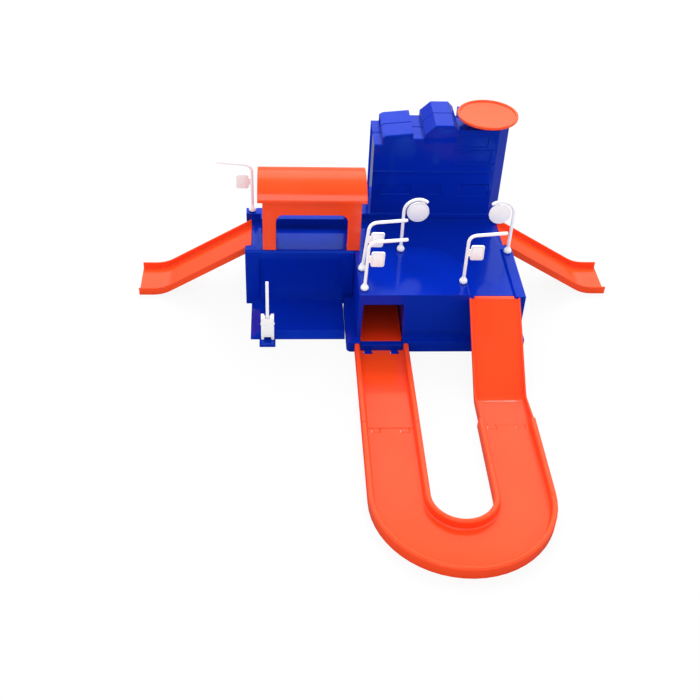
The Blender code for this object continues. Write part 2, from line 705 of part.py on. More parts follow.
def parking_block(parent):
    """Build the left block: kerb, upper road, rear wall, curved bay wall, bay floor and barrier tab."""
    x = (PARKING_LEFT, -GAP)
    body = box(x, (PARKING_FRONT, PARKING_BACK), (0.0, REAR_WALL_LEVEL))
    past_x = (x[0] - PAST, x[1] + PAST)
    above = REAR_WALL_LEVEL + PAST
    cut(body, box(past_x, (PARKING_FRONT - PAST, ROAD_FRONT + EMBED), (ISLAND_LEVEL, above)))
    road = [
        (past_x[0], ROAD_FRONT),
        (past_x[1], ROAD_FRONT),
        (past_x[1], REAR_WALL_FRONT),
        (REAR_CORNER_X, REAR_WALL_FRONT),
        (REAR_CORNER_X, ROAD_BACK),
        (past_x[0], ROAD_BACK),
    ]
    cut(body, prism("Z", road, ROAD_LEVEL, above))
    hollow_y = (PARKING_FRONT + RECESS_DEPTH + WALL, PARKING_BACK - WALL)
    hollow_x = (x[0] + WALL, x[1] - WALL)
    cut(body, box(hollow_x, hollow_y, (-PAST, DECK_UNDERSIDE)))
    rear_x = (REAR_CORNER_X + WALL, hollow_x[1])
    rear_y = (REAR_WALL_FRONT + WALL, hollow_y[1])
    cut(body, box(rear_x, rear_y, (DECK_UNDERSIDE - PAST, REAR_WALL_LEVEL - WALL)))
    add(body, seat_backing(x[0], -1.0, LEFT_RAMP_Y))
    cut(body, *ramp_seat(x[0], -1.0, LEFT_RAMP_Y))
    bay_right = BAY_RIGHT - GAP
    floor = box((BAY_LEFT, bay_right), (BAY_FRONT, hollow_y[0]), (0.0, BAY_FLOOR))
    for corner in floor.data.vertices:
        if corner.co.z > 0.0:
            corner.co.x = max(corner.co.x, BAY_LEFT + BAY_SIDE_SLOPE)
            corner.co.y = max(corner.co.y, BAY_FRONT + BAY_FRONT_SLOPE)
    add(body, floor)
    half = (RECESS_TOP - BAY_FLOOR) / 2
    radius = (half ** 2 + RECESS_DEPTH ** 2) / (2 * RECESS_DEPTH)
    reach = math.degrees(math.asin(half / radius))
    centre = (PARKING_FRONT + RECESS_DEPTH - radius, BAY_FLOOR + half)
    hollow = arc(centre, radius, -reach, reach, 8)
    face = PARKING_FRONT - PAST
    cut(body, prism("X", [(face, BAY_FLOOR), *hollow, (face, RECESS_TOP)], RECESS_LEFT, RECESS_RIGHT))
    brow = arc((PARKING_FRONT + KERB_ROUND, ISLAND_LEVEL - KERB_ROUND), KERB_ROUND, 180.0, 90.0, 4)
    high = ISLAND_LEVEL + PAST
    cut(body, prism("X", [(face, high), (face, brow[0][1]), *brow, (brow[-1][0], high)], *past_x))
    under_x = (BAY_LEFT + BAY_SIDE_SLOPE, bay_right - WALL)
    under_y = (BAY_FRONT + BAY_FRONT_SLOPE, PARKING_FRONT)
    cut(body, box(under_x, under_y, (-PAST, BAY_FLOOR - WALL)))
    tab_back = BAY_FRONT + TAB_THICKNESS
    add(body, box((TAB_LEFT, TAB_RIGHT), (TAB_FRONT, tab_back), (0.0, TAB_THICKNESS)))
    sign = [SIGNS["parking_sign"][:2]]
    add(body, *socket_bosses(sign, REAR_WALL_LEVEL))
    cut(body, *socket_holes(sign, REAR_WALL_LEVEL))
    for peg_x, peg_y in canopy_pegs():
        hole_x = (peg_x - CANOPY_PEG_WIDTH / 2 - GAP, peg_x + CANOPY_PEG_WIDTH / 2 + GAP)
        hole_y = (peg_y - CANOPY_PEG_THICKNESS / 2 - GAP, peg_y + CANOPY_PEG_THICKNESS / 2 + GAP)
        top = canopy_seat(peg_y)
        cut(body, box(hole_x, hole_y, (top - CANOPY_PEG_LENGTH - GAP, top + PAST)))
    return finish(body, "parking_block", BLUE, parent)


def canopy_seat(y):
    """Return the level of the surface under the canopy's legs at a place along y."""
    return ISLAND_LEVEL if y < REAR_WALL_FRONT else REAR_WALL_LEVEL


def canopy_pegs():
    """Return the middles of the pegs under the canopy's four legs, all over the parking block."""
    left = CANOPY_LEFT + LEG_WIDTH / 2
    right = -GAP - WALL - CANOPY_PEG_WIDTH / 2
    front = CANOPY_FRONT + SIDE_LEG_WIDTH / 2
    back = CANOPY_BACK - CANOPY_WALL / 2
    return [(left, front), (right, front), (left, back), (right, back)]


def vault_outline(middle, half, bottom, side, rise):
    """Return the outline of a barrel vault on upright sides."""
    spring = bottom + side
    radius = (half ** 2 + rise ** 2) / (2 * rise)
    reach = math.degrees(math.asin(half / radius))
    curve = arc((middle, spring + rise - radius), radius, 90.0 - reach, 90.0 + reach, ROOF_STEPS)
    return [(middle - half, bottom), (middle + half, bottom), *curve]


def arch(left, right, bottom):
    """Return an opening's outline with its two upper corners rounded."""
    low = ARCH_TOP - ARCH_CORNER_HEIGHT
    shoulder = right - ARCH_CORNER_WIDTH
    curve = []
    for i in range(ARCH_STEPS + 1):
        turn = math.pi / 2 * i / ARCH_STEPS
        across = ARCH_CORNER_WIDTH * math.cos(turn)
        curve.append((shoulder + across, low + ARCH_CORNER_HEIGHT * math.sin(turn)))
    mirrored = [(left + right - a, b) for a, b in reversed(curve)]
    return [(left, bottom), (right, bottom), *curve, *mirrored]


def canopy(parent):
    """Build the vaulted roof with its four-legged frame as one moulding."""
    x = (CANOPY_LEFT, CANOPY_RIGHT)
    y = (CANOPY_FRONT, CANOPY_BACK)
    foot = ISLAND_LEVEL + GAP
    body = box(x, y, (foot, EAVE_LEVEL + EAVE_HEIGHT))
    middle = (y[0] + y[1]) / 2
    half = middle - y[0] + CANOPY_OVERHANG
    side = CANOPY_SIDE_OVERHANG
    outer = vault_outline(middle, half, EAVE_LEVEL, EAVE_HEIGHT, ROOF_RISE)
    add(body, prism("X", outer, x[0] - side, x[1] + side))
    inner_half = middle - y[0] - CANOPY_WALL
    inner_side = EAVE_LEVEL + EAVE_HEIGHT - foot + PAST
    inner = vault_outline(middle, inner_half, foot - PAST, inner_side, ROOF_RISE - CANOPY_WALL)
    cut(body, prism("X", inner, x[0] + CANOPY_WALL, x[1] - CANOPY_WALL))
    behind = y[1] - SIDE_LEG_WIDTH - PAST
    cut(body, box((x[0] - PAST, x[1] + PAST), (behind, y[1] + PAST), (foot - PAST, REAR_WALL_LEVEL + GAP)))
    front_arch = arch(x[0] + LEG_WIDTH, x[1] - LEG_WIDTH, foot - PAST)
    side_arch = arch(y[0] + SIDE_LEG_WIDTH, y[1] - SIDE_LEG_WIDTH, foot - PAST)
    cut(body, prism("Y", front_arch, y[0] - PAST, y[1] + PAST))
    cut(body, prism("X", side_arch, x[0] - PAST, x[1] + PAST))
    edge = -2 * GAP
    cut(body, box((edge, x[1] + PAST), (behind, y[1] + PAST), (foot - PAST, ARCH_TOP)))
    rear_leg = (REAR_WALL_LEVEL + GAP, ARCH_TOP + EMBED)
    add(body, box((edge - CANOPY_WALL, edge), (y[1] - REAR_LEG_WIDTH, y[1] - EMBED), rear_leg))
    for near, far in ((x[0], x[0] + LEG_WIDTH), (x[1] - LEG_WIDTH, x[1])):
        add(body, box((near, far), (y[0] + EMBED, y[0] + SIDE_LEG_WIDTH), (foot, foot + CANOPY_WALL)))
    for peg_x, peg_y in canopy_pegs():
        peg = (peg_x - CANOPY_PEG_WIDTH / 2, peg_x + CANOPY_PEG_WIDTH / 2)
        thick = (peg_y - CANOPY_PEG_THICKNESS / 2, peg_y + CANOPY_PEG_THICKNESS / 2)
        top = canopy_seat(peg_y) + GAP
        add(body, box(peg, thick, (top - CANOPY_PEG_LENGTH, top + PAST)))
    return finish(body, "canopy", ORANGE, parent)


def ramp_line(top, run, toe, bend, seat):
    """Return a ramp's underside as points of distance and height: a straight fall, a bend and a level toe."""
    fall = math.atan2(top, run)
    reach = bend * math.tan(fall / 2)
    curve = arc((run + reach, bend), bend, 270.0 - math.degrees(fall), 270.0, BEND_STEPS)
    return [(-seat, top + seat * top / run), *curve, (run + toe, 0.0)]


def raised(line, first, last):
    """Return a line raised by an amount that goes from first to last along it, faster near the end."""
    length = line[-1][0]
    return [(a, b + first + (last - first) * max(a / length, 0.0) ** 2) for a, b in line]


def ramp(width, line, first_rim, last_rim):
    """Build a ramp running along x from its side line, with a floor between two upright walls."""
    half = width / 2
    top = raised(line, RAMP_FLOOR, RAMP_FLOOR)
    rim = raised(line, RAMP_FLOOR + first_rim, RAMP_FLOOR + last_rim)
    body = prism("Y", [*line, *reversed(top)], -half + EMBED, half - EMBED)
    side = [*line, *reversed(rim)]
    return add(body, prism("Y", side, -half, -half + RAMP_WALL), prism("Y", side, half - RAMP_WALL, half))


def side_ramp(name, face, turn, y, parent):
    """Build one of the two alike side ramps and set its upper end in its bed."""
    line = ramp_line(RAMP_TOP, RAMP_RUN, RAMP_TOE, RAMP_BEND, RAMP_SEAT)
    rim = RAMP_RIM - RAMP_FLOOR
    body = ramp(RAMP_WIDTH, line, rim, rim)
    place_at(body, (face, y, 0.0), turn)
    return finish(body, name, ORANGE, parent)


def front_ramp(parent):
    """Build the front ramp with its low rims, its tongue in the road and its hooks at the lower end."""
    line = ramp_line(ROAD_LEVEL - RAMP_FLOOR, FRONT_RAMP_RUN, FRONT_RAMP_TOE, FRONT_RAMP_BEND, 0.0)
    body = ramp(FRONT_RAMP_WIDTH, line, FRONT_RAMP_RIM, FRONT_RAMP_TOE_RIM)
    tongue = (-FRONT_TONGUE_LENGTH, EMBED)
    half = FRONT_TONGUE_WIDTH / 2
    add(body, box(tongue, (-half, half), (ROAD_LEVEL - RAMP_FLOOR, ROAD_LEVEL)))
    place_at(body, (RIGHT_LANE, -GAP, 0.0), -90.0)
    add(body, *hook_bodies(-1.0, RIGHT_LANE, FRONT_RAMP_END))
    return finish(body, "front_ramp", ORANGE, parent)


def tunnel_chute(parent):
    """Build the sloping channel in the tunnel, standing on its own side skirts, with a stop at the back."""
    half = TUNNEL_WIDTH / 2 - GAP
    left = LEFT_LANE - half
    right = LEFT_LANE + half
    start = WALL + GAP
    end = start + CHUTE_LENGTH
    low = TUNNEL_SILL - CHUTE_WALL
    rise = CHUTE_RISE
    floor = [
        (CHUTE_START, low),
        (start, low),
        (end, low + rise),
        (end, low + rise + CHUTE_WALL),
        (start, low + CHUTE_WALL),
        (CHUTE_START, low + CHUTE_WALL),
    ]
    body = prism("X", floor, left + EMBED, right - EMBED)
    side = [(start, 0.0), (end, 0.0), (end, low + rise + CHUTE_SIDE), (start, low + CHUTE_SIDE)]
    add(body, prism("X", side, left, left + CHUTE_WALL), prism("X", side, right - CHUTE_WALL, right))
    stop = (low + rise, low + rise + CHUTE_STOP)
    add(body, box((left, right), (end - CHUTE_WALL, end), stop))
    return finish(body, "tunnel_chute", ORANGE, parent)


def track_section():
    """Return the channel section of a track: a floor between two round-topped walls, hollow underneath."""
    half = TRACK_WIDTH / 2
    inner = half - TRACK_WALL
    crown = TRACK_HEIGHT - TRACK_CROWN
    groove = (inner + TRACK_SKIN, half - TRACK_SKIN)
    roof = TRACK_HEIGHT - TRACK_SKIN
    right = [
        (inner - TRACK_FILLET, TRACK_FLOOR),
        (inner, TRACK_FLOOR + TRACK_FILLET),
        *arc((inner + TRACK_CROWN, crown), TRACK_CROWN, 180.0, 90.0, 3),
        *arc((half - TRACK_CROWN, crown), TRACK_CROWN, 90.0, 0.0, 3),
        (half, 0.0),
        (groove[1], 0.0),
        (groove[1], roof),
        (groove[0], roof),
        (groove[0], 0.0),
    ]
    left = [(-a, b) for a, b in reversed(right)]
    return left + right


def tracks(parent):
    """Build the straight track from the tunnel and the bent track that leads back to the front ramp."""
    down = (0.0, -1.0)
    straight = sweep(track_section(), [((LEFT_LANE, TRACK_START), down), ((LEFT_LANE, STRAIGHT_END), down)])
    cut(straight, *hook_notches(-1.0, LEFT_LANE, -PLINTH_STEP))
    add(straight, *hook_bodies(-1.0, LEFT_LANE, STRAIGHT_END))
    finish(straight, "straight_track", ORANGE, parent)
    path = [((LEFT_LANE, STRAIGHT_END - GAP), down)]
    for i in range(BEND_SEGMENTS + 1):
        turn = math.pi + math.pi * i / BEND_SEGMENTS
        spot = (BEND_X + BEND_RADIUS * math.cos(turn), LEG_END + BEND_RADIUS * math.sin(turn))
        path.append((spot, (-math.sin(turn), math.cos(turn))))
    path.append(((RIGHT_LANE, RIGHT_LEG_START), (0.0, 1.0)))
    bent = sweep(track_section(), path)
    cut(bent, *hook_notches(-1.0, LEFT_LANE, STRAIGHT_END))
    cut(bent, *hook_notches(-1.0, RIGHT_LANE, FRONT_RAMP_END))
    finish(bent, "bent_track", ORANGE, parent)


def roof_line(back):
    """Return the outline of the skyline's front or back in x and z, clockwise from its lower left corner."""
    base = ISLAND_LEVEL + GAP
    valley = []
    if back:
        valley = [(ROUND_RIGHT, LINK_TOP), (HOTEL_BACK_LEFT, LINK_TOP), (HOTEL_BACK_LEFT, HOTEL_TOP)]
    return [
        (TOWER_LEFT, base),
        (TOWER_LEFT, STEP_TOP),
        (OFFICE_LEFT, STEP_TOP),
        (OFFICE_LEFT, OFFICE_EAVE),
        (OFFICE_LEFT + OFFICE_CORNER, OFFICE_LOW),
        (OFFICE_RIGHT, OFFICE_HIGH),
        (OFFICE_RIGHT, LINK_TOP),
        (ROUND_LEFT, LINK_TOP),
        (ROUND_LEFT, ROUND_EAVE),
        (ROUND_LEFT + ROUND_CORNER, ROUND_TOP),
        (ROUND_RIGHT - ROUND_RIGHT_CORNER, ROUND_TOP),
        (ROUND_RIGHT, HOTEL_TOP),
        *valley,
        (TOWER_RIGHT, HOTEL_TOP),
        (TOWER_RIGHT, base),
    ]


def drawn_in(outline, amount):
    """Return a clockwise outline with all its sides moved inwards by an amount."""
    result = []
    for i, corner in enumerate(outline):
        here = Vector(corner)
        before = (here - Vector(outline[i - 1])).normalized()
        after = (Vector(outline[(i + 1) % len(outline)]) - here).normalized()
        inward = Vector((before.y, -before.x))
        middle = (inward + Vector((after.y, -after.x))).normalized()
        spot = here + middle * (amount / middle.dot(inward))
        result.append((spot.x, spot.y))
    return result


def hotel_corner(inset):
    """Return a cutter along z for the skyline's cut front right corner, drawn in by an inset."""
    run = HOTEL_CORNER + inset * math.sqrt(2.0) + PAST
    right = TOWER_RIGHT + PAST
    front = TOWER_FRONT - PAST
    triangle = [(TOWER_RIGHT - run, front), (right, front), (right, TOWER_FRONT + run)]
    return prism("Z", triangle, 0.0, HOTEL_TOP + PAST)


def tower_tabs(y, clearance, low, high):
    """Return the pair of flat tabs at a place along y, grown by a clearance, between two levels."""
    half = TOWER_TAB_WIDTH / 2 + clearance
    thick = TOWER_TAB_THICKNESS / 2 + clearance
    return [box((x - half, x + half), (y - thick, y + thick), (low, high)) for x in TOWER_TAB_PLACES]


def tower_half(back, start, end, hollow):
    """Return one half of the skyline between two places along y, with its foot, tabs and hollow."""
    base = ISLAND_LEVEL + GAP
    body = prism("Y", roof_line(back), start, end)
    foot_y = (start, end + TOWER_FOOT_STEP) if back else (start - TOWER_FOOT_STEP, end)
    add(body, box((TOWER_FOOT_LEFT, TOWER_FOOT_RIGHT), foot_y, (base, base + TOWER_FOOT_HEIGHT)))
    room = prism("Y", drawn_in(roof_line(True), TOWER_WALL), *hollow)
    if not back:
        cut(room, hotel_corner(TOWER_WALL))
    cut(body, room)
    row = TAB_ROWS[1] if back else TAB_ROWS[0]
    return add(body, *tower_tabs(row, 0.0, base - TOWER_TAB_LENGTH, base + EMBED))


def skyline_front(parent):
    """Build the skyline's front half, open at the seam, with the round front, ledges, windows and hub."""
    front = TOWER_FRONT
    seam = TOWER_SEAM - GAP / 2
    right = TOWER_RIGHT - HOTEL_CORNER
    body = tower_half(False, front, seam, (front + TOWER_WALL + WINDOW_DEPTH, seam + PAST))
    cut(body, hotel_corner(0.0))
    flange = (ISLAND_LEVEL + GAP, ISLAND_LEVEL + GAP + TOWER_FOOT_HEIGHT)
    corner = (right - EMBED, TOWER_FOOT_RIGHT)
    add(body, box(corner, (front - TOWER_FOOT_STEP, front + HOTEL_CORNER), flange))
    round_front = [
        (ROUND_LEFT, ROUND_FOOT),
        (ROUND_LEFT, ROUND_EAVE),
        (ROUND_LEFT + ROUND_CORNER, ROUND_TOP),
        (ROUND_RIGHT - ROUND_RIGHT_CORNER, ROUND_TOP),
        (ROUND_RIGHT, HOTEL_TOP),
        (ROUND_RIGHT, ROUND_FOOT),
    ]
    proud = prism("Y", round_front, front - ROUND_STAND_OUT, front + EMBED)
    for vertex in proud.data.vertices:
        if vertex.co.y < front and vertex.co.z < ROUND_FOOT + EMBED:
            vertex.co.z += ROUND_UNDERCUT
    add(body, proud)
    ledges = [(TOWER_LEFT, LEDGE_LEVEL), *((BAND_LEFT, level) for level in BAND_LEVELS)]
    for left, level in ledges:
        add(body, box((left, right), (front - LEDGE_STEP, front + EMBED), (level, level + LEDGE_HEIGHT)))
    for left_edge, right_edge, low, high in WINDOWS:
        cut(body, box((left_edge, right_edge), (front - PAST, front + WINDOW_DEPTH), (low, high)))
    hub = (PAD_X, PAD_Y)
    hub_low = HOTEL_TOP - PAD_PEG_LENGTH - TOWER_WALL
    hole_low = HOTEL_TOP - PAD_PEG_LENGTH - GAP
    hole_radius = PAD_PEG_RADIUS + GAP
    add(body, rod("Z", hub, hole_radius + SOCKET_WALL, hub_low, HOTEL_TOP - EMBED, ROUND_SIDES))
    cut(body, rod("Z", hub, hole_radius, hole_low, HOTEL_TOP + PAST, ROUND_SIDES))
    return finish(body, "skyline_front", BLUE, parent)


def skyline_back(parent):
    """Build the skyline's back half, open at the seam."""
    seam = TOWER_SEAM + GAP / 2
    body = tower_half(True, seam, TOWER_BACK, (seam - PAST, TOWER_BACK - TOWER_WALL))
    return finish(body, "skyline_back", BLUE, parent)


def landing_pad(parent):
    """Build the round landing pad with its raised rim, its stem and the peg that turns in the skyline."""
    seat = HOTEL_TOP + GAP - PAD_TOP
    inner = PAD_RADIUS - PAD_RIM_WIDTH
    profile = [
        (0.0, seat - PAD_PEG_LENGTH),
        (PAD_PEG_RADIUS, seat - PAD_PEG_LENGTH),
        (PAD_PEG_RADIUS, seat),
        (PAD_STEM_RADIUS, seat),
        (PAD_STEM_RADIUS, -PAD_THICKNESS),
        (PAD_RADIUS - PAD_RIM_DEPTH, -PAD_THICKNESS),
        (PAD_RADIUS, -PAD_THICKNESS + PAD_RIM_DEPTH),
        (PAD_RADIUS, -PAD_RIM_DEPTH / 2),
        (PAD_RADIUS - PAD_RIM_DEPTH / 2, 0.0),
        (inner + PAD_RIM_DEPTH / 2, 0.0),
        (inner, -PAD_RIM_DEPTH),
        (0.0, -PAD_RIM_DEPTH),
    ]
    body = turned(profile, PAD_SIDES)
    place_at(body, (PAD_X, PAD_Y, PAD_TOP), 0.0)
    return finish(body, "landing_pad", LIGHT_ORANGE, parent, (PAD_X, PAD_Y, PAD_TOP))


def place_at(item, spot, turn):
    """Turn a body about the z axis and set it at a spot, in its mesh."""
    angle = math.radians(turn)
    for corner in item.data.vertices:
        x, y = corner.co.x, corner.co.y
        corner.co.x = spot[0] + x * math.cos(angle) - y * math.sin(angle)
        corner.co.y = spot[1] + x * math.sin(angle) + y * math.cos(angle)
        corner.co.z += spot[2]
    return item


def post_foot():
    """Return the round foot of a post, with the peg that plugs into the deck."""
    profile = [
        (0.0, -PEG_LENGTH),
        (PEG_RADIUS, -PEG_LENGTH),
        (PEG_RADIUS, 0.0),
        *((FOOT_RADIUS * wide, FOOT_HEIGHT * high) for wide, high in FOOT_SWELL),
        (POST_RADIUS, FOOT_HEIGHT),
        (0.0, FOOT_HEIGHT),
    ]
    return turned(profile, POST_SIDES + 4)


def sign_shapes(lean, margin):
    """Return a sign plate's outline, leaning with its post and drawn in by a margin."""
    slant = lean / SIGN_HEIGHT
    low = PLATE_LOW + margin
    high = PLATE_LOW + PLATE_HEIGHT - margin
    left = PLATE_START + margin
    right = PLATE_START + PLATE_WIDTH - margin
    corners = [
        (left + slant * low, low),
        (right + slant * low, low),
        (right + slant * high, high),
        (left + slant * high, high),
    ]
    return rounded(corners, PLATE_CORNER - margin, 3)


def road_sign(name, parent):
    """Build a sign: foot, post, bent arm and a plate whose front face is recessed for its label."""
    x, y, turn, lean = SIGNS[name]
    body = post_foot()
    tip = (lean + SIGN_ARM, SIGN_HEIGHT + SIGN_ARM_RISE)
    path = [(lean * POST_START / SIGN_HEIGHT, POST_START), (lean, SIGN_HEIGHT), tip]
    add(body, tube(rounded(path, SIGN_BEND, 4, closed=False), POST_RADIUS, POST_SIDES))
    half = PLATE_THICKNESS / 2
    add(body, prism("Y", sign_shapes(lean, 0.0), -half, half))
    slant = lean * PLATE_LOW / SIGN_HEIGHT
    web_x = (slant + POST_RADIUS / 2, slant + PLATE_START + 2 * EMBED)
    web_z = (PLATE_LOW + WEB_MARGIN, PLATE_LOW + PLATE_HEIGHT - WEB_MARGIN)
    add(body, box(web_x, (-WEB_THICKNESS / 2, WEB_THICKNESS / 2), web_z))
    cut(body, prism("Y", sign_shapes(lean, PLATE_RIM), -half - PAST, -half + LABEL_DEPTH))
    spot = (x, y, post_level(name) + GAP)
    place_at(body, spot, turn)
    post = finish(body, name, WHITE, parent, spot)
    label = prism("Y", sign_shapes(lean, PLATE_RIM + GAP), -half, -half + LABEL_DEPTH - GAP)
    place_at(label, spot, turn)
    finish(label, name + "_label", GREY, parent, spot)
    return post


def mirror_post(name, parent):
    """Build a round traffic mirror that hangs in its post's hooked end, with a recessed face."""
    x, y, turn = MIRRORS[name]
    body = post_foot()
    centre = (MIRROR_REACH, MIRROR_HEIGHT)
    path = [(0.0, POST_START), *arc(centre, MIRROR_REACH, 180.0, HOOK_END_ANGLE, 10)]
    add(body, tube(path, POST_RADIUS, POST_SIDES))
    half = MIRROR_THICKNESS / 2
    add(body, rod("Y", centre, MIRROR_RADIUS, -half, half, MIRROR_SIDES))
    low, high = MIRROR_WEB_ANGLES
    web = arc(centre, MIRROR_RADIUS - EMBED, low, high, 2) + arc(centre, MIRROR_REACH, high, low, 2)
    add(body, prism("Y", web, -WEB_THICKNESS / 2, WEB_THICKNESS / 2))
    rim = MIRROR_RADIUS - PLATE_RIM
    cut(body, rod("Y", centre, rim, -half - PAST, -half + LABEL_DEPTH, MIRROR_SIDES))
    spot = (x, y, post_level(name) + GAP)
    place_at(body, spot, turn)
    post = finish(body, name, WHITE, parent, spot)
    label = rod("Y", centre, rim - GAP, -half, -half + LABEL_DEPTH - GAP, MIRROR_SIDES)
    place_at(label, spot, turn)
    finish(label, name + "_label", GREY, parent, spot)
    return post


def barrier(parent):
    """Build the barrier's housing with its two cheeks, the arm between them and the pin that it turns on."""
    base = TAB_THICKNESS + GAP
    half = BARRIER_WIDTH / 2
    x = (BARRIER_X - half, BARRIER_X + half)
    y = (BARRIER_Y - BARRIER_DEPTH / 2, BARRIER_Y + BARRIER_DEPTH / 2)
    past_y = (y[0] - PAST, y[1] + PAST)
    top = base + BARRIER_HEIGHT
    housing = box(x, y, (base, top))
    for near, far in ((x[0], x[0] + PRONG_WIDTH), (x[1] - PRONG_WIDTH, x[1])):
        add(housing, box((near, far), y, (top - EMBED, top + PRONG_HEIGHT)))
    slot = (BARRIER_X - BARRIER_SLOT_WIDTH / 2, BARRIER_X + BARRIER_SLOT_WIDTH / 2)
    cut(housing, box(slot, (y[0] + BARRIER_PLATE, past_y[1]), (BARRIER_SLOT_FLOOR, top + PAST)))
    feet = (x[0] + BARRIER_LEG_WIDTH, x[1] - BARRIER_LEG_WIDTH)
    cut(housing, box(feet, past_y, (base - PAST, base + BARRIER_LEG_HEIGHT)))
    for side in (-0.5, 0.5):
        dent = (BARRIER_X + side * DENT_SPACING, DENT_LEVEL)
        cut(housing, rod("Y", dent, DENT_RADIUS, past_y[0], y[0] + DENT_DEPTH))
    axis = (BARRIER_PIVOT_Y, BARRIER_PIVOT_LEVEL)
    cut(housing, rod("X", axis, PIN_RADIUS + GAP, x[0] - PAST, x[1] + PAST))
    finish(housing, "barrier_housing", WHITE, parent)
    tip_half = ARM_TIP_DEPTH / 2
    tip = BARRIER_PIVOT_LEVEL + ARM_LENGTH
    side = [
        (BARRIER_PIVOT_Y - ARM_DEPTH / 2, BARRIER_PIVOT_LEVEL),
        (BARRIER_PIVOT_Y + ARM_DEPTH / 2, BARRIER_PIVOT_LEVEL),
        (BARRIER_PIVOT_Y + tip_half, tip - tip_half),
        (BARRIER_PIVOT_Y, tip),
        (BARRIER_PIVOT_Y - tip_half, tip - tip_half),
    ]
    arm_x = (BARRIER_X - ARM_WIDTH / 2, BARRIER_X + ARM_WIDTH / 2)
    arm = prism("X", side, *arm_x)
    add(arm, rod("X", axis, ARM_BOSS_RADIUS, *arm_x, ROUND_SIDES))
    cut(arm, rod("X", axis, PIN_RADIUS + GAP, arm_x[0] - PAST, arm_x[1] + PAST))
    pivot = (BARRIER_X, BARRIER_PIVOT_Y, BARRIER_PIVOT_LEVEL)
    finish(arm, "barrier_arm", WHITE, parent, pivot)
    pin = rod("X", axis, PIN_RADIUS, x[0] - PIN_STAND_OUT, x[1] + PIN_STAND_OUT)
    finish(pin, "barrier_pin", WHITE, parent, pivot)


def main():
    """Build every piece under one empty that sets the zero point to the middle of the toy's footprint."""
    clear_scene()
    origin = bpy.data.objects.new("garage_origin", None)
    origin.location = (-MIDDLE[0], -MIDDLE[1], 0.0)
    bpy.context.scene.collection.objects.link(origin)
    garage_block(origin)
    parking_block(origin)
    canopy(origin)
    side_ramp("left_ramp", PARKING_LEFT, 180.0, LEFT_RAMP_Y, origin)
    side_ramp("right_ramp", BLOCK_WIDTH, 0.0, RIGHT_RAMP_Y, origin)
    front_ramp(origin)
    tunnel_chute(origin)
    tracks(origin)
    skyline_front(origin)
    skyline_back(origin)
    landing_pad(origin)
    for name in SIGNS:
        road_sign(name, origin)
    for name in MIRRORS:
        mirror_post(name, origin)
    barrier(origin)


main()
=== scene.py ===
"""Looks of the toy garage: moulded plastic with rounded edges, posts, films, floor, light and camera.

The blocks, ramps, tracks, canopy, skyline and barrier are merged copies of the solids with their edges
rounded. The posts, signs, mirrors, films and landing pad are surfaces worked out with numpy.
"""

import json
import logging
import math
from dataclasses import dataclass, field, replace
from enum import Enum

import bmesh
import bpy
import numpy as np
from mathutils import Matrix, Vector

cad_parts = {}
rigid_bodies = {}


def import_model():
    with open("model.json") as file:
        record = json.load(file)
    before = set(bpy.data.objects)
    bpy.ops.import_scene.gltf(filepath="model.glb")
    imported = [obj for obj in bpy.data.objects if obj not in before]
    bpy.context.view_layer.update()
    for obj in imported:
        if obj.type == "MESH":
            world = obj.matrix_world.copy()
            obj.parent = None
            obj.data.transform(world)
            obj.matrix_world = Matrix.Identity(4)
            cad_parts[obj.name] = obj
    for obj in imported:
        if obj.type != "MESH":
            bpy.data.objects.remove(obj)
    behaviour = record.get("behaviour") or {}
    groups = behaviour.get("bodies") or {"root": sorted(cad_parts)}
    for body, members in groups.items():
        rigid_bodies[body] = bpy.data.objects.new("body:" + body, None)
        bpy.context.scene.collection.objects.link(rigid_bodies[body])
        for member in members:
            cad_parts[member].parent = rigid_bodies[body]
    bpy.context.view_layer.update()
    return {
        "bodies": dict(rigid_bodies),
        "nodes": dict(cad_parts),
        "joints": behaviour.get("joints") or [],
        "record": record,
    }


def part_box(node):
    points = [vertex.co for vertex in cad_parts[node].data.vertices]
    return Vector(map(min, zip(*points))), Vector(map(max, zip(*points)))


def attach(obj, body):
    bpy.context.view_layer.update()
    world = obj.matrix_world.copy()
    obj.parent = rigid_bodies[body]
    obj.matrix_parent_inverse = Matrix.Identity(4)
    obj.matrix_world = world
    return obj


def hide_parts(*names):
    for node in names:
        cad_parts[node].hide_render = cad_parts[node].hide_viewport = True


LOG = logging.getLogger("toy_garage")
MM = 0.001
SHARP_DEG = 40.0  # Faces that meet at more than this keep a sharp edge.
AXIS_MM = 0.05  # The radius that stands for zero on a spun profile's axis.
SIDE_SHARE = 0.45  # A rounding takes no more than this share of a side.
TIP_SHARE = 0.05  # A round end's last ring, as a share of the rod.
EDGE_SHARE = 0.42  # An edge's rounding takes no more than this share of its shortest neighbour.


class Plastic(Enum):
    """The plastics and films that the toy is made of."""

    BLUE = "blue_plastic"
    ORANGE = "orange_plastic"
    LIGHT_ORANGE = "light_orange_plastic"
    WHITE = "white_plastic"
    FILM = "grey_label"


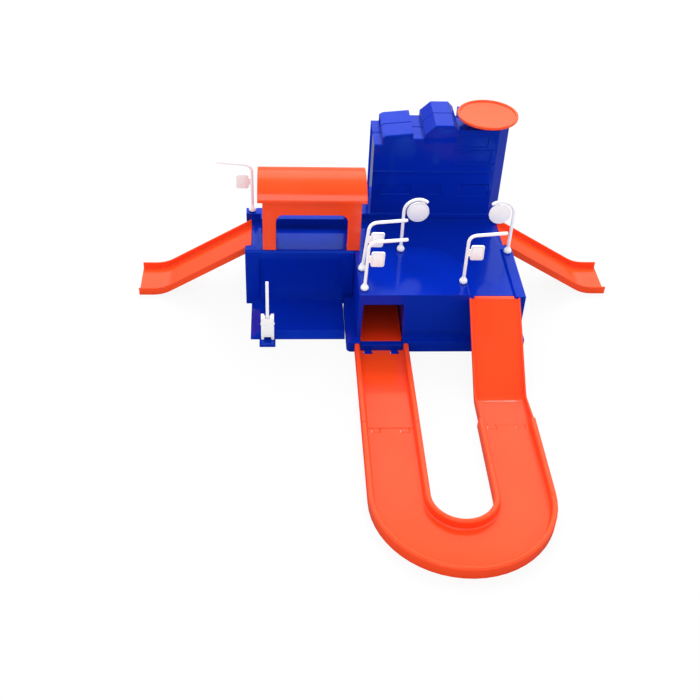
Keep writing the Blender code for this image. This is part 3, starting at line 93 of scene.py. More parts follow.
class MouldingGroup:
    """Shader group that turns one colour into a moulded surface with clouding, grain and hairline scuffs.

    Waves are per metre. A band is the part of a noise that is stretched to fill the range from 0 to 1.
    """

    NAME = "moulded_surface"
    CLOUD_WAVES = 16.0
    CLOUD_OCTAVES = 3.0
    CLOUD_BAND = (0.3, 0.7)
    CLOUD_MIDDLE = 0.5
    PATCH_WAVES = 55.0
    PATCH_OCTAVES = 4.0
    PATCH_BAND = (0.5, 0.72)
    PATCH_MIDDLE = 0.3
    HAIR_SETS = ((0.5, (24.0, 900.0, 500.0)), (-0.9, (900.0, 30.0, 500.0)))
    HAIR_OCTAVES = 2.0
    HAIR_BAND = (0.66, 0.74)
    GRAIN_OCTAVES = 3.0
    SCUFF_DEPTH = 0.4

    def __init__(self) -> None:
        """Build the group once."""
        self.tree = bpy.data.node_groups.new(self.NAME, "ShaderNodeTree")
        self._sockets()
        self._nodes()

    def _sockets(self) -> None:
        """Name the group's inputs and outputs."""
        sides = {
            "INPUT": (
                ("Colour", "Scuffed Colour"),
                ("Clouding", "Roughness", "Roughness Spread", "Grain Scale", "Grain", "Scuffs"),
            ),
            "OUTPUT": (("Colour",), ("Roughness", "Height")),
        }
        for side, (colours, values) in sides.items():
            for name in colours:
                self.tree.interface.new_socket(name, in_out=side, socket_type="NodeSocketColor")
            for name in values:
                self.tree.interface.new_socket(name, in_out=side, socket_type="NodeSocketFloat")

    def _noise(self, scale: float, detail: float, vector: bpy.types.NodeSocket) -> bpy.types.Node:
        """Add a noise texture.

        Args:
            scale: Waves per metre.
            detail: Octaves.
            vector: Where it is read.

        Returns:
            The noise node.
        """
        node = self.tree.nodes.new("ShaderNodeTexNoise")
        node.inputs["Scale"].default_value = scale
        node.inputs["Detail"].default_value = detail
        self.tree.links.new(vector, node.inputs["Vector"])
        return node

    def _math(self, kind: str, first: object, second: object) -> bpy.types.NodeSocket:
        """Add a calculation with two values.

        Args:
            kind: Blender's name of the operation.
            first: A number or a socket.
            second: A number or a socket.

        Returns:
            The result's socket.
        """
        node = self.tree.nodes.new("ShaderNodeMath")
        node.operation = kind
        for slot, value in enumerate((first, second)):
            if isinstance(value, (int, float)):
                node.inputs[slot].default_value = value
            else:
                self.tree.links.new(value, node.inputs[slot])
        return node.outputs[0]

    def _ramp(self, source: bpy.types.NodeSocket, low: float, high: float) -> bpy.types.NodeSocket:
        """Stretch a value so that low gives 0 and high gives 1.

        Args:
            source: The value.
            low: The value that gives 0.
            high: The value that gives 1.

        Returns:
            The stretched value's socket.
        """
        node = self.tree.nodes.new("ShaderNodeMapRange")
        node.inputs["From Min"].default_value = low
        node.inputs["From Max"].default_value = high
        self.tree.links.new(source, node.inputs["Value"])
        return node.outputs["Result"]

    def _scuffs(self, place: bpy.types.NodeSocket, patches: bpy.types.NodeSocket) -> bpy.types.NodeSocket:
        """Add two crossing sets of hairlines that show only in the worn patches.

        Args:
            place: The object's coordinates.
            patches: How worn the surface is.

        Returns:
            The hairlines' mask.
        """
        hairs = []
        for turn, stretch in self.HAIR_SETS:
            mapping = self.tree.nodes.new("ShaderNodeMapping")
            mapping.inputs["Rotation"].default_value = (0.0, 0.0, turn)
            mapping.inputs["Scale"].default_value = stretch
            self.tree.links.new(place, mapping.inputs["Vector"])
            hair = self._noise(1.0, self.HAIR_OCTAVES, mapping.outputs[0])
            hairs.append(self._ramp(hair.outputs["Fac"], *self.HAIR_BAND))
        return self._math("MULTIPLY", self._math("MAXIMUM", *hairs), patches)

    def _colour(
        self, given: bpy.types.Node, clouds: bpy.types.NodeSocket, scuffs: bpy.types.NodeSocket
    ) -> bpy.types.NodeSocket:
        """Add the clouded colour with the scuffed colour mixed in.

        Args:
            given: The group's inputs.
            clouds: How light the clouds are, from 0 to 1.
            scuffs: The hairlines' mask.

        Returns:
            The colour's socket.
        """
        tree = self.tree
        clouds = self._math("SUBTRACT", clouds, self.CLOUD_MIDDLE)
        shade = self._math("MULTIPLY", clouds, given.outputs["Clouding"])
        tone = tree.nodes.new("ShaderNodeHueSaturation")
        tree.links.new(self._math("ADD", shade, 1.0), tone.inputs["Value"])
        tree.links.new(given.outputs["Colour"], tone.inputs["Color"])
        mix = tree.nodes.new("ShaderNodeMix")
        mix.data_type = "RGBA"
        tree.links.new(scuffs, mix.inputs["Factor"])
        tree.links.new(tone.outputs["Color"], mix.inputs["A"])
        tree.links.new(given.outputs["Scuffed Colour"], mix.inputs["B"])
        return mix.outputs["Result"]

    def _nodes(self) -> None:
        """Join the clouds, hairlines and grain to the group's outputs."""
        tree = self.tree
        given = tree.nodes.new("NodeGroupInput")
        out = tree.nodes.new("NodeGroupOutput")
        place = tree.nodes.new("ShaderNodeTexCoord").outputs["Object"]
        clouds = self._noise(self.CLOUD_WAVES, self.CLOUD_OCTAVES, place)
        clouds = self._ramp(clouds.outputs["Fac"], *self.CLOUD_BAND)
        patches = self._noise(self.PATCH_WAVES, self.PATCH_OCTAVES, place)
        patches = self._ramp(patches.outputs["Fac"], *self.PATCH_BAND)
        scuffs = self._math("MULTIPLY", self._scuffs(place, patches), given.outputs["Scuffs"])
        tree.links.new(self._colour(given, clouds, scuffs), out.inputs["Colour"])
        worn = self._math("SUBTRACT", patches, self.PATCH_MIDDLE)
        spread = self._math("MULTIPLY", worn, given.outputs["Roughness Spread"])
        rough = self._math("ADD", self._math("ADD", given.outputs["Roughness"], spread), scuffs)
        tree.links.new(rough, out.inputs["Roughness"])
        grain = self._noise(1.0, self.GRAIN_OCTAVES, place)
        tree.links.new(given.outputs["Grain Scale"], grain.inputs["Scale"])
        height = self._math("MULTIPLY", grain.outputs["Fac"], given.outputs["Grain"])
        height = self._math("SUBTRACT", height, self._math("MULTIPLY", scuffs, self.SCUFF_DEPTH))
        tree.links.new(height, out.inputs["Height"])


@dataclass(frozen=True)
class Finish:
    """One plastic's look.

    Where the surface is seen at so low an angle that its facing value passes the grazing band, its mirror
    shine falls to the glancing share.
    """

    name: str
    colour: tuple[float, float, float]
    scuffed: tuple[float, float, float]
    roughness: float
    clouding: float = 0.10
    roughness_spread: float = 0.06
    grain_scale: float = 1600.0
    grain: float = 0.5
    scuffs: float = 0.10
    bump_mm: float = 0.006
    bump_strength: float = 0.6
    ior: float = 1.49
    tint: tuple[float, float, float] = (1.0, 1.0, 1.0)
    shine: float = 0.5
    glancing: float = 0.0
    grazing: tuple[float, float] = (0.75, 0.90)

    def material(self, group: MouldingGroup) -> bpy.types.Material:
        """Make the material.

        Args:
            group: The shared moulded surface.

        Returns:
            A node material.
        """
        made = bpy.data.materials.new(self.name)
        made.use_nodes = True
        tree = made.node_tree
        shader = tree.nodes["Principled BSDF"]
        shader.inputs["IOR"].default_value = self.ior
        shader.inputs["Specular Tint"].default_value = (*self.tint, 1.0)
        surface = tree.nodes.new("ShaderNodeGroup")
        surface.node_tree = group.tree
        values = {
            "Colour": (*self.colour, 1.0),
            "Scuffed Colour": (*self.scuffed, 1.0),
            "Clouding": self.clouding,
            "Roughness": self.roughness,
            "Roughness Spread": self.roughness_spread,
            "Grain Scale": self.grain_scale,
            "Grain": self.grain,
            "Scuffs": self.scuffs,
        }
        for socket, value in values.items():
            surface.inputs[socket].default_value = value
        bump = tree.nodes.new("ShaderNodeBump")
        bump.inputs["Strength"].default_value = self.bump_strength
        bump.inputs["Distance"].default_value = self.bump_mm * MM
        tree.links.new(surface.outputs["Height"], bump.inputs["Height"])
        tree.links.new(surface.outputs["Colour"], shader.inputs["Base Color"])
        tree.links.new(surface.outputs["Roughness"], shader.inputs["Roughness"])
        tree.links.new(bump.outputs["Normal"], shader.inputs["Normal"])
        tree.links.new(self._level(tree), shader.inputs["Specular IOR Level"])
        made.diffuse_color = (*self.colour, 1.0)
        return made

    def _level(self, tree: bpy.types.NodeTree) -> bpy.types.NodeSocket:
        """Add the mirror shine's level, which changes where the surface is seen at a low angle.

        Args:
            tree: The material's nodes.

        Returns:
            The level's socket.
        """
        facing = tree.nodes.new("ShaderNodeLayerWeight")
        level = tree.nodes.new("ShaderNodeMapRange")
        level.inputs["From Min"].default_value, level.inputs["From Max"].default_value = self.grazing
        level.inputs["To Min"].default_value = self.shine
        level.inputs["To Max"].default_value = self.shine * self.glancing
        tree.links.new(facing.outputs["Facing"], level.inputs["Value"])
        return level.outputs["Result"]


FINISHES = {
    Plastic.BLUE: Finish(
        "blue_plastic", (0.0010, 0.0185, 0.37), (0.01, 0.04, 0.43), 0.12, tint=(0.12, 0.45, 1.0)
    ),
    Plastic.ORANGE: Finish("orange_plastic", (0.90, 0.064, 0.012), (0.94, 0.11, 0.035), 0.12),
    Plastic.LIGHT_ORANGE: Finish("light_orange_plastic", (0.88, 0.072, 0.012), (0.94, 0.12, 0.04), 0.16),
    Plastic.WHITE: Finish(
        "white_plastic", (0.93, 0.935, 0.94), (0.78, 0.78, 0.79), 0.20, clouding=0.03
    ),
    Plastic.FILM: Finish(
        "grey_film",
        (0.92, 0.92, 0.94),
        (0.96, 0.96, 0.96),
        0.30,
        clouding=0.06,
        grain_scale=3000.0,
        grain=0.8,
        bump_mm=0.01,
    ),
}

OWN_FINISHES = {
    "skyline_front": replace(FINISHES[Plastic.BLUE], name="polished_blue_plastic", glancing=1.0),
    # The chute's orange is darker and redder than the other orange parts: painted shade for the dim inside of
    # the tunnel.
    "tunnel_chute": replace(
        FINISHES[Plastic.ORANGE], name="orange_plastic_painted_shade", colour=(0.72, 0.030, 0.006)
    ),
}


@dataclass
class Toolbox:
    """What every sub-assembly needs: the loaded frame, the materials and a way to finish a piece."""

    frame: dict
    materials: dict[Plastic, bpy.types.Material]
    own_materials: dict[str, bpy.types.Material]
    done: list[str] = field(default_factory=list)

    def body_of(self, node: str) -> str:
        """Find a node's body.

        Args:
            node: The node's name.

        Returns:
            The name of the body that it is in.
        """
        bodies = self.frame["record"]["behaviour"]["bodies"]
        return next(body for body, nodes in bodies.items() if node in nodes)

    def pivot(self, joint: str) -> Vector:
        """Find a joint's axis point.

        Args:
            joint: The joint's name.

        Returns:
            The point in metres.
        """
        return next(Vector(j["pos_m"]) for j in self.frame["joints"] if j["name"] == joint)

    def place(self, piece: bpy.types.Object, node: str, plastic: Plastic) -> None:
        """Dress a piece, let it stand for a node and ride on the node's body.

        Args:
            piece: The finished object, at the origin.
            node: The node that it stands for.
            plastic: Its plastic.
        """
        piece.data.materials.clear()
        piece.data.materials.append(self.own_materials.get(node, self.materials[plastic]))
        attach(piece, self.body_of(node))
        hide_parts(node)
        self.done.append(piece.name)
        LOG.info("%s stands for %s", piece.name, node)


@dataclass
class Shells:
    """Closed surfaces gathered as arrays, to become one mesh."""

    points: list[np.ndarray] = field(default_factory=list)
    faces: list[list[int]] = field(default_factory=list)
    count: int = 0

    def add_rings(self, rings: np.ndarray) -> None:
        """Add a surface carried through rings of points, closed round each ring.

        The point at ring i and step j joins its neighbours at i + 1 and j + 1. Flat faces close the two end
        rings.

        Args:
            rings: Array of rings by steps by 3.
        """
        many, steps = rings.shape[:2]
        index = np.arange(many * steps).reshape(many, steps) + self.count
        following = np.roll(index, -1, axis=1)
        quads = np.stack([index[:-1], following[:-1], following[1:], index[1:]], axis=-1)
        self.faces.extend(quads.reshape(-1, 4).tolist())
        self.faces.append(index[0][::-1].tolist())
        self.faces.append(index[-1].tolist())
        self.points.append(rings.reshape(-1, 3))
        self.count += many * steps

    def make(self, name: str, spot: Vector, turn_deg: float) -> bpy.types.Object:
        """Turn the gathered surfaces about z, move them to their spot and make the object.

        Args:
            name: The object's name.
            spot: Where the local zero point goes.
            turn_deg: Turn about z.

        Returns:
            The linked object, with its place in its mesh.
        """
        angle = math.radians(turn_deg)
        cosine, sine = math.cos(angle), math.sin(angle)
        turn = np.array([[cosine, -sine, 0.0], [sine, cosine, 0.0], [0.0, 0.0, 1.0]])
        points = np.concatenate(self.points) @ turn.T + np.array(spot)
        mesh = bpy.data.meshes.new(name)
        mesh.from_pydata(points, [], self.faces)
        mesh.update()
        shape = bmesh.new()
        shape.from_mesh(mesh)
        bmesh.ops.recalc_face_normals(shape, faces=shape.faces)
        shape.to_mesh(mesh)
        shape.free()
        mesh.shade_smooth()
        mesh.set_sharp_from_angle(angle=math.radians(SHARP_DEG))
        piece = bpy.data.objects.new(name, mesh)
        bpy.context.scene.collection.objects.link(piece)
        return piece


def turned_rings(profile: np.ndarray, steps: int) -> np.ndarray:
    """Spin a profile about z: the point at turn t is radius cos t, radius sin t, height.

    Args:
        profile: Array of radius and height.
        steps: Points round a ring.

    Returns:
        Array of rings.
    """
    turns = np.linspace(0.0, 2.0 * np.pi, steps, endpoint=False)
    radius, height = profile[:, :1], profile[:, 1:]
    level = np.broadcast_to(height, (len(profile), steps))
    return np.stack([radius * np.cos(turns), radius * np.sin(turns), level], axis=-1)


def softened(profile: np.ndarray, radius: float, steps: int = 4) -> np.ndarray:
    """Round the inner corners of an open path.

    Each corner becomes a curve of second degree between two cut points. A cut point lies the radius, or a
    little less than half a side, away from the corner.

    Args:
        profile: Array of points.
        radius: How far the rounding reaches.
        steps: Parts of each rounding.

    Returns:
        Array of points.
    """
    before, here, after = profile[:-2], profile[1:-1], profile[2:]
    to_before, to_after = before - here, after - here
    size_before = np.linalg.norm(to_before, axis=1, keepdims=True)
    size_after = np.linalg.norm(to_after, axis=1, keepdims=True)
    reach = np.minimum(radius, SIDE_SHARE * np.minimum(size_before, size_after))
    start = here + to_before / size_before * reach
    end = here + to_after / size_after * reach
    t = np.linspace(0.0, 1.0, steps + 1)[None, :, None]
    curve = (1 - t) ** 2 * start[:, None] + 2 * t * (1 - t) * here[:, None] + t**2 * end[:, None]
    return np.concatenate([profile[:1], curve.reshape(-1, profile.shape[1]), profile[-1:]])


def tube_rings(path: np.ndarray, radius: np.ndarray, steps: int) -> np.ndarray:
    """Carry a circle along a path in the plane y = 0.

    The circle's two directions are y and the path's direction turned by a right angle.

    Args:
        path: Array of x and z.
        radius: One radius for each point.
        steps: Points round a ring.

    Returns:
        Array of rings.
    """
    along = np.gradient(path, axis=0)
    along /= np.linalg.norm(along, axis=1, keepdims=True)
    across = np.stack([along[:, 1], -along[:, 0]], axis=1)
    turns = np.linspace(0.0, 2.0 * np.pi, steps, endpoint=False)
    reach = radius[:, None] * np.cos(turns)
    x = path[:, :1] + across[:, :1] * reach
    z = path[:, 1:] + across[:, 1:] * reach
    return np.stack([x, radius[:, None] * np.sin(turns), z], axis=-1)


def plate_rings(outline: np.ndarray, steps: np.ndarray) -> np.ndarray:
    """Build a flat plate in the plane y = 0 from its outline, as rings drawn in from it.

    A ring is the outline moved along its inward normals by an inset, at one y.

    Args:
        outline: Array of x and z, closed.
        steps: Array of inset and y.

    Returns:
        Array of rings.
    """
    along = np.roll(outline, -1, axis=0) - np.roll(outline, 1, axis=0)
    along /= np.linalg.norm(along, axis=1, keepdims=True)
    inward = np.stack([-along[:, 1], along[:, 0]], axis=1)
    spots = outline[None] + inward[None] * steps[:, :1, None]
    y = np.broadcast_to(steps[:, 1:], (len(steps), len(outline)))
    return np.stack([spots[..., 0], y, spots[..., 1]], axis=-1)


def round_ended(path: np.ndarray, radius: float, steps: int = 5) -> tuple[np.ndarray, np.ndarray]:
    """Give a path's last end a half-round close: the radius falls as the cosine of a quarter turn.

    Args:
        path: Array of x and z.
        radius: The rod's radius.
        steps: Rings in the round end.

    Returns:
        The longer path and a radius for each point.
    """
    way = path[-1] - path[-2]
    way /= np.linalg.norm(way)
    turn = np.linspace(0.0, np.pi / 2, steps + 1)[1:]
    end = path[-1] - way * radius
    tip = end + way * radius * np.sin(turn)[:, None]
    body = np.concatenate([path[:-1], end[None]])
    closing = np.maximum(radius * np.cos(turn), radius * TIP_SHARE)
    radii = np.concatenate([np.full(len(body), radius), closing])
    return np.concatenate([body, tip]), radii


@dataclass(frozen=True)
class Plate:
    """A thin blank plate with a raised rim round a sunk film. All in millimetres."""

    edge: float
    film_edge: float
    thickness: float = 2.0
    edge_share: float = 0.3
    rim: float = 0.9
    rim_slope: float = 0.1
    recess: float = 0.7
    gap: float = 0.3
    film_drop: float = 0.06

    @property
    def film_margin(self) -> float:
        """Work out how far the film's outline is drawn in from the plate's.

        Returns:
            The margin.
        """
        return self.rim + self.gap

    def steps(self) -> np.ndarray:
        """Work out the plate's rings, from its back over the edge to the bottom of its sunk front.

        Returns:
            Array of inset and y.
        """
        edge, half, soft = self.edge, self.thickness / 2, self.edge * self.edge_share
        return np.array(
            [
                (edge, half),
                (soft, half - soft),
                (0.0, half - edge),
                (0.0, edge - half),
                (soft, soft - half),
                (edge, -half),
                (self.rim - self.rim_slope, -half),
                (self.rim, self.rim_slope - half),
                (self.rim, self.recess - half),
            ]
        )

    def film_steps(self) -> np.ndarray:
        """Work out the film's rings, from its back to its front.

        Returns:
            Array of inset and y.
        """
        half = self.thickness / 2
        back = self.recess - self.gap - half
        return np.array([(0.0, back), (0.0, self.film_drop - half), (self.film_edge, -half)])


@dataclass(frozen=True)
class SoftEdges:
    """The hard edges inside a box, which get a rounding of their own. All in millimetres."""

    low: tuple[float, float, float]
    high: tuple[float, float, float]
    width: float
    share: float = EDGE_SHARE

    def holds(self, edge: bmesh.types.BMEdge) -> bool:
        """Tell whether both ends of an edge lie in the box.

        Args:
            edge: The edge.

        Returns:
            True if they do.
        """
        ends = [end.co / MM for end in edge.verts]
        return all(low <= at <= high for end in ends for low, at, high in zip(self.low, end, self.high))


@dataclass(frozen=True)
class Moulding:
    """A moulded piece's plastic, its rounding in millimetres and the edges with a rounding of their own."""

    plastic: Plastic
    rounding_mm: float
    soft_edges: tuple[SoftEdges, ...] = ()

    @property
    def widest(self) -> float:
        """Find the widest rounding.

        Returns:
            Its width in metres.
        """
        return max([self.rounding_mm, *(zone.width for zone in self.soft_edges)]) * MM


@dataclass
class RoundedCopies:
    """Moulded pieces taken from the solids: merged copies with every hard edge rounded."""

    tools: Toolbox
    mouldings: dict[str, Moulding]
    segments: int = 3
    hard_deg: float = 33.0
    flat_deg: float = 0.4
    merge: float = 2e-6

    def build(self) -> None:
        """Make one piece for each node."""
        for node, moulding in self.mouldings.items():
            piece = self._copy(node, moulding)
            self._round(piece, moulding.widest)
            self.tools.place(piece, node, moulding.plastic)

    def _copy(self, node: str, moulding: Moulding) -> bpy.types.Object:
        """Copy a node's mesh, merge its corners and melt its flat faces together.

        Args:
            node: The node's name.
            moulding: How it is finished.

        Returns:
            The linked object.
        """
        shape = bmesh.new()
        shape.from_mesh(self.tools.frame["nodes"][node].data)
        bmesh.ops.remove_doubles(shape, verts=shape.verts, dist=self.merge)
        flat = math.radians(self.flat_deg)
        bmesh.ops.dissolve_limit(shape, angle_limit=flat, verts=shape.verts, edges=shape.edges)
        self._weigh(shape, moulding)
        mesh = bpy.data.meshes.new(node + "_moulding")
        shape.to_mesh(mesh)
        shape.free()
        mesh.shade_smooth()
        piece = bpy.data.objects.new(node + "_moulding", mesh)
        bpy.context.scene.collection.objects.link(piece)
        return piece

    def _weigh(self, shape: bmesh.types.BMesh, moulding: Moulding) -> None:
        """Give each hard edge its rounding as a share of the widest, less where its ends have short edges.

        An edge in a zone without a width stays sharp, as at a hook's root, where a rounding would fold over.

        Args:
            shape: The copy.
            moulding: How it is finished.
        """
        layer = shape.edges.layers.float.new("bevel_weight_edge")
        hard = math.radians(self.hard_deg)
        for edge in shape.edges:
            if len(edge.link_faces) != 2 or edge.calc_face_angle() < hard:
                continue
            zone = next((zone for zone in moulding.soft_edges if zone.holds(edge)), None)
            edge.smooth = not (zone and zone.width == 0.0)
            width, share = (zone.width, zone.share) if zone else (moulding.rounding_mm, EDGE_SHARE)
            shortest = min(other.calc_length() for end in edge.verts for other in end.link_edges)
            edge[layer] = min(width * MM, shortest * share) / moulding.widest

    def _round(self, piece: bpy.types.Object, width: float) -> None:
        """Round the weighted edges and weigh the normals by face size.

        Args:
            piece: The object.
            width: The widest rounding.
        """
        rounding = piece.modifiers.new("rounding", "BEVEL")
        rounding.width = width
        rounding.segments = self.segments
        rounding.limit_method = "WEIGHT"
        rounding.use_clamp_overlap = False
        rounding.harden_normals = True
        rounding.miter_outer = "MITER_ARC"
        weight = piece.modifiers.new("weight", "WEIGHTED_NORMAL")
        weight.keep_sharp = True


@dataclass(frozen=True)
class Post:
    """Shared sizes of the plugged-in posts, in millimetres.

    The foot's form is a list of shares of its radius and height, from its bottom up.
    """

    rod: float = 1.5
    rod_from: float = 0.6
    peg: float = 1.3
    peg_length: float = 6.0
    foot: float = 3.7
    foot_height: float = 6.6
    foot_form: tuple[tuple[float, float], ...] = ((0.84, 0.0), (1.0, 0.22), (0.92, 0.48), (0.62, 0.72))
    soft: float = 0.7
    sides: int = 28

    @property
    def rod_start(self) -> float:
        """Work out where the rod starts inside the foot.

        Returns:
            The height.
        """
        return self.foot_height * self.rod_from

    def foot_rings(self) -> np.ndarray:
        """Spin the profile of the peg and the bulged foot.

        Returns:
            Array of rings.
        """
        profile = [
            (AXIS_MM, -self.peg_length),
            (self.peg, -self.peg_length),
            (self.peg, 0.0),
            *((self.foot * wide, self.foot_height * high) for wide, high in self.foot_form),
            (self.rod, self.foot_height),
            (AXIS_MM, self.foot_height),
        ]
        return turned_rings(softened(np.array(profile), self.soft), self.sides) * MM


@dataclass
class RoadSigns:
    """The bent posts with one blank plate each, and the plates' films.

    The face is the plate's left, low, right and high side. A place is a post's turn and its lean to the side.
    """

    tools: Toolbox
    post: Post = Post()
    plate: Plate = Plate(edge=0.35, film_edge=0.08)
    height: float = 50.0
    arm: float = 33.8
    arm_rise: float = 3.2
    arm_part: float = 0.6
    bend: float = 7.5
    bend_steps: int = 10
    face: tuple[float, float, float, float] = (3.0, 25.0, 15.0, 40.0)
    corner: float = 2.0
    corner_steps: int = 7
    web: float = 0.6
    web_start: float = 0.7
    web_overlap: float = 1.2
    web_margin: float = 4.0
    places: dict[str, tuple[float, float]] = field(
        default_factory=lambda: {
            "deck_side_sign": (0.0, 4.6),
            "deck_corner_sign": (0.0, 1.6),
            "ramp_top_sign": (0.0, 0.0),
            "parking_sign": (180.0, 0.0),
        }
    )

    def build(self) -> None:
        """Make the posts and their films."""
        for node, (turn, lean) in self.places.items():
            spot = self.tools.pivot(node + "_turn")
            shells = Shells()
            shells.add_rings(self.post.foot_rings())
            shells.add_rings(self._rod(lean))
            shells.add_rings(plate_rings(self._outline(lean, 0.0), self.plate.steps()) * MM)
            shells.add_rings(self._web(lean))
            self.tools.place(shells.make(node + "_moulding", spot, turn), node, Plastic.WHITE)
            film = Shells()
            outline = self._outline(lean, self.plate.film_margin)
            film.add_rings(plate_rings(outline, self.plate.film_steps()) * MM)
            self.tools.place(film.make(node + "_film", spot, turn), node + "_label", Plastic.FILM)

    def _rod(self, lean: float) -> np.ndarray:
        """Return the bent rod's rings.

        Args:
            lean: How far its top stands beside its foot.

        Returns:
            Array of rings.
        """
        low, part = self.post.rod_start, self.arm_part
        corners = np.array(
            [
                (lean * low / self.height, low),
                (lean / 2, self.height / 2),
                (lean, self.height),
                (lean + self.arm * part, self.height + self.arm_rise * part),
                (lean + self.arm, self.height + self.arm_rise),
            ]
        )
        path, radius = round_ended(softened(corners, self.bend, self.bend_steps), self.post.rod)
        return tube_rings(path, radius, self.post.sides) * MM

    def _outline(self, lean: float, margin: float) -> np.ndarray:
        """Return a plate's outline with round corners, leaning with its post.

        A corner is a quarter circle round its own centre. Then x moves by height times lean over post height.

        Args:
            lean: How far the post leans.
            margin: How far the outline is drawn in.

        Returns:
            Array of x and z.
        """
        left, low, right, high = self.face
        radius = self.corner - margin
        turns = np.linspace(0.0, np.pi / 2, self.corner_steps)
        centres = np.array(
            [
                (right - margin - radius, high - margin - radius),
                (left + margin + radius, high - margin - radius),
                (left + margin + radius, low + margin + radius),
                (right - margin - radius, low + margin + radius),
            ]
        )
        angles = turns[None, :] + (np.arange(4) * np.pi / 2)[:, None]
        spots = centres[:, None, :] + radius * np.stack([np.cos(angles), np.sin(angles)], axis=-1)
        outline = spots.reshape(-1, 2)
        outline[:, 0] += outline[:, 1] * lean / self.height
        return outline

    def _web(self, lean: float) -> np.ndarray:
        """Return the thin web between post and plate, as two rings of a box.

        Args:
            lean: How far the post leans.

        Returns:
            Array of rings.
        """
        left, low, _, high = self.face
        slant = lean * low / self.height
        x = np.array([slant + self.web_start, slant + left + self.web_overlap])
        z = np.array([low + self.web_margin, high - self.web_margin])
        y = np.array([-self.web, self.web])
        corners = np.array([(y[0], z[0]), (y[1], z[0]), (y[1], z[1]), (y[0], z[1])])
        rings = np.stack([np.column_stack([np.full(4, at), corners]) for at in x])
        return rings * MM


@dataclass
class RoundMirrors:
    """The hooked posts with a round face each, and the faces' films."""

    tools: Toolbox
    post: Post = Post()
    plate: Plate = Plate(edge=0.4, film_edge=0.1)
    height: float = 42.4
    reach: float = 13.0
    radius: float = 10.2
    sides: int = 56
    straight: tuple[float, float] = (0.4, 0.8)
    end_deg: float = 48.0
    hook_steps: int = 26
    web: float = 0.6
    web_overlap: float = 0.6
    web_deg: tuple[float, float] = (58.0, 80.0)
    web_steps: int = 5
    turns: dict[str, float] = field(default_factory=lambda: {"deck_mirror": 0.0, "kerb_mirror": 180.0})

    def build(self) -> None:
        """Make the posts, faces and films."""
        for node, turn in self.turns.items():
            spot = self.tools.pivot(node + "_turn")
            shells = Shells()
            shells.add_rings(self.post.foot_rings())
            shells.add_rings(self._rod())
            shells.add_rings(plate_rings(self._circle(0.0), self.plate.steps()) * MM)
            shells.add_rings(self._web())
            self.tools.place(shells.make(node + "_moulding", spot, turn), node, Plastic.WHITE)
            film = Shells()
            film.add_rings(plate_rings(self._circle(self.plate.film_margin), self.plate.film_steps()) * MM)
            self.tools.place(film.make(node + "_film", spot, turn), node + "_label", Plastic.FILM)

    def _round(self, radius: float, turns: np.ndarray) -> np.ndarray:
        """Return points round the face's middle: the radius times cosine and sine of each turn.

        Args:
            radius: How far they lie from the middle.
            turns: Their turns in radians.

        Returns:
            Array of x and z.
        """
        return np.column_stack([self.reach + radius * np.cos(turns), self.height + radius * np.sin(turns)])

    def _circle(self, margin: float) -> np.ndarray:
        """Return the face's outline, closed.

        Args:
            margin: How far it is drawn in.

        Returns:
            Array of x and z.
        """
        return self._round(self.radius - margin, np.linspace(0.0, 2.0 * np.pi, self.sides, endpoint=False))

    def _arc(self, radius: float, first: float, last: float, steps: int) -> np.ndarray:
        """Return part of a circle round the face's middle.

        Args:
            radius: The circle's radius.
            first: The first angle in degrees.
            last: The last angle in degrees.
            steps: How many points.

        Returns:
            Array of x and z.
        """
        return self._round(radius, np.radians(np.linspace(first, last, steps)))

    def _rod(self) -> np.ndarray:
        """Carry the hooked rod straight up, then round the face.

        Returns:
            Array of rings.
        """
        heights = [self.post.rod_start, *(self.height * share for share in self.straight)]
        straight = np.array([(0.0, height) for height in heights])
        curve = self._arc(self.reach, 180.0, self.end_deg, self.hook_steps)
        path, radius = round_ended(np.concatenate([straight, curve]), self.post.rod)
        return tube_rings(path, radius, self.post.sides) * MM

    def _web(self) -> np.ndarray:
        """Build the web between hook and face from two arcs at two levels of y.

        Returns:
            Array of rings.
        """
        first, last = self.web_deg
        inner = self._arc(self.radius - self.web_overlap, first, last, self.web_steps)
        outer = self._arc(self.reach, last, first, self.web_steps)
        ring = np.concatenate([inner, outer])
        levels = (-self.web, self.web)
        rings = [np.column_stack([ring[:, 0], np.full(len(ring), y), ring[:, 1]]) for y in levels]
        return np.stack(rings) * MM


@dataclass
class LandingPad:
    """The round landing pad with its rim, stem and peg, as one spun profile in millimetres."""

    tools: Toolbox
    node: str = "landing_pad"
    radius: float = 28.2
    thickness: float = 3.0
    rim_width: float = 2.2
    rim_depth: float = 1.3
    rim_slope: float = 0.3
    chamfer: float = 0.8
    soft: float = 0.6
    stem: float = 6.0
    peg: float = 3.0
    peg_length: float = 6.0
    seat: float = -12.4
    sides: int = 128

    def build(self) -> None:
        """Make the pad."""
        inner = self.radius - self.rim_width
        profile = np.array(
            [
                (AXIS_MM, self.seat - self.peg_length),
                (self.peg, self.seat - self.peg_length),
                (self.peg, self.seat),
                (self.stem, self.seat),
                (self.stem, -self.thickness),
                (self.radius - self.chamfer, -self.thickness),
                (self.radius, -self.thickness + self.chamfer),
                (self.radius, 0.0),
                (inner, 0.0),
                (inner - self.rim_slope, -self.rim_depth),
                (AXIS_MM, -self.rim_depth),
            ]
        )
        shells = Shells()
        shells.add_rings(turned_rings(softened(profile, self.soft), self.sides) * MM)
        middle = self.tools.pivot("landing_pad_turn")
        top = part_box(self.node)[1].z
        piece = shells.make("landing_pad_moulding", Vector((middle.x, middle.y, top)), 0.0)
        self.tools.place(piece, self.node, Plastic.LIGHT_ORANGE)


@dataclass(frozen=True)
class Lamp:
    """A square soft lamp: its name, place and side in metres, power in watts and whether it is mirrored."""

    name: str
    place: tuple[float, float, float]
    size: float
    power: float
    mirrored: bool


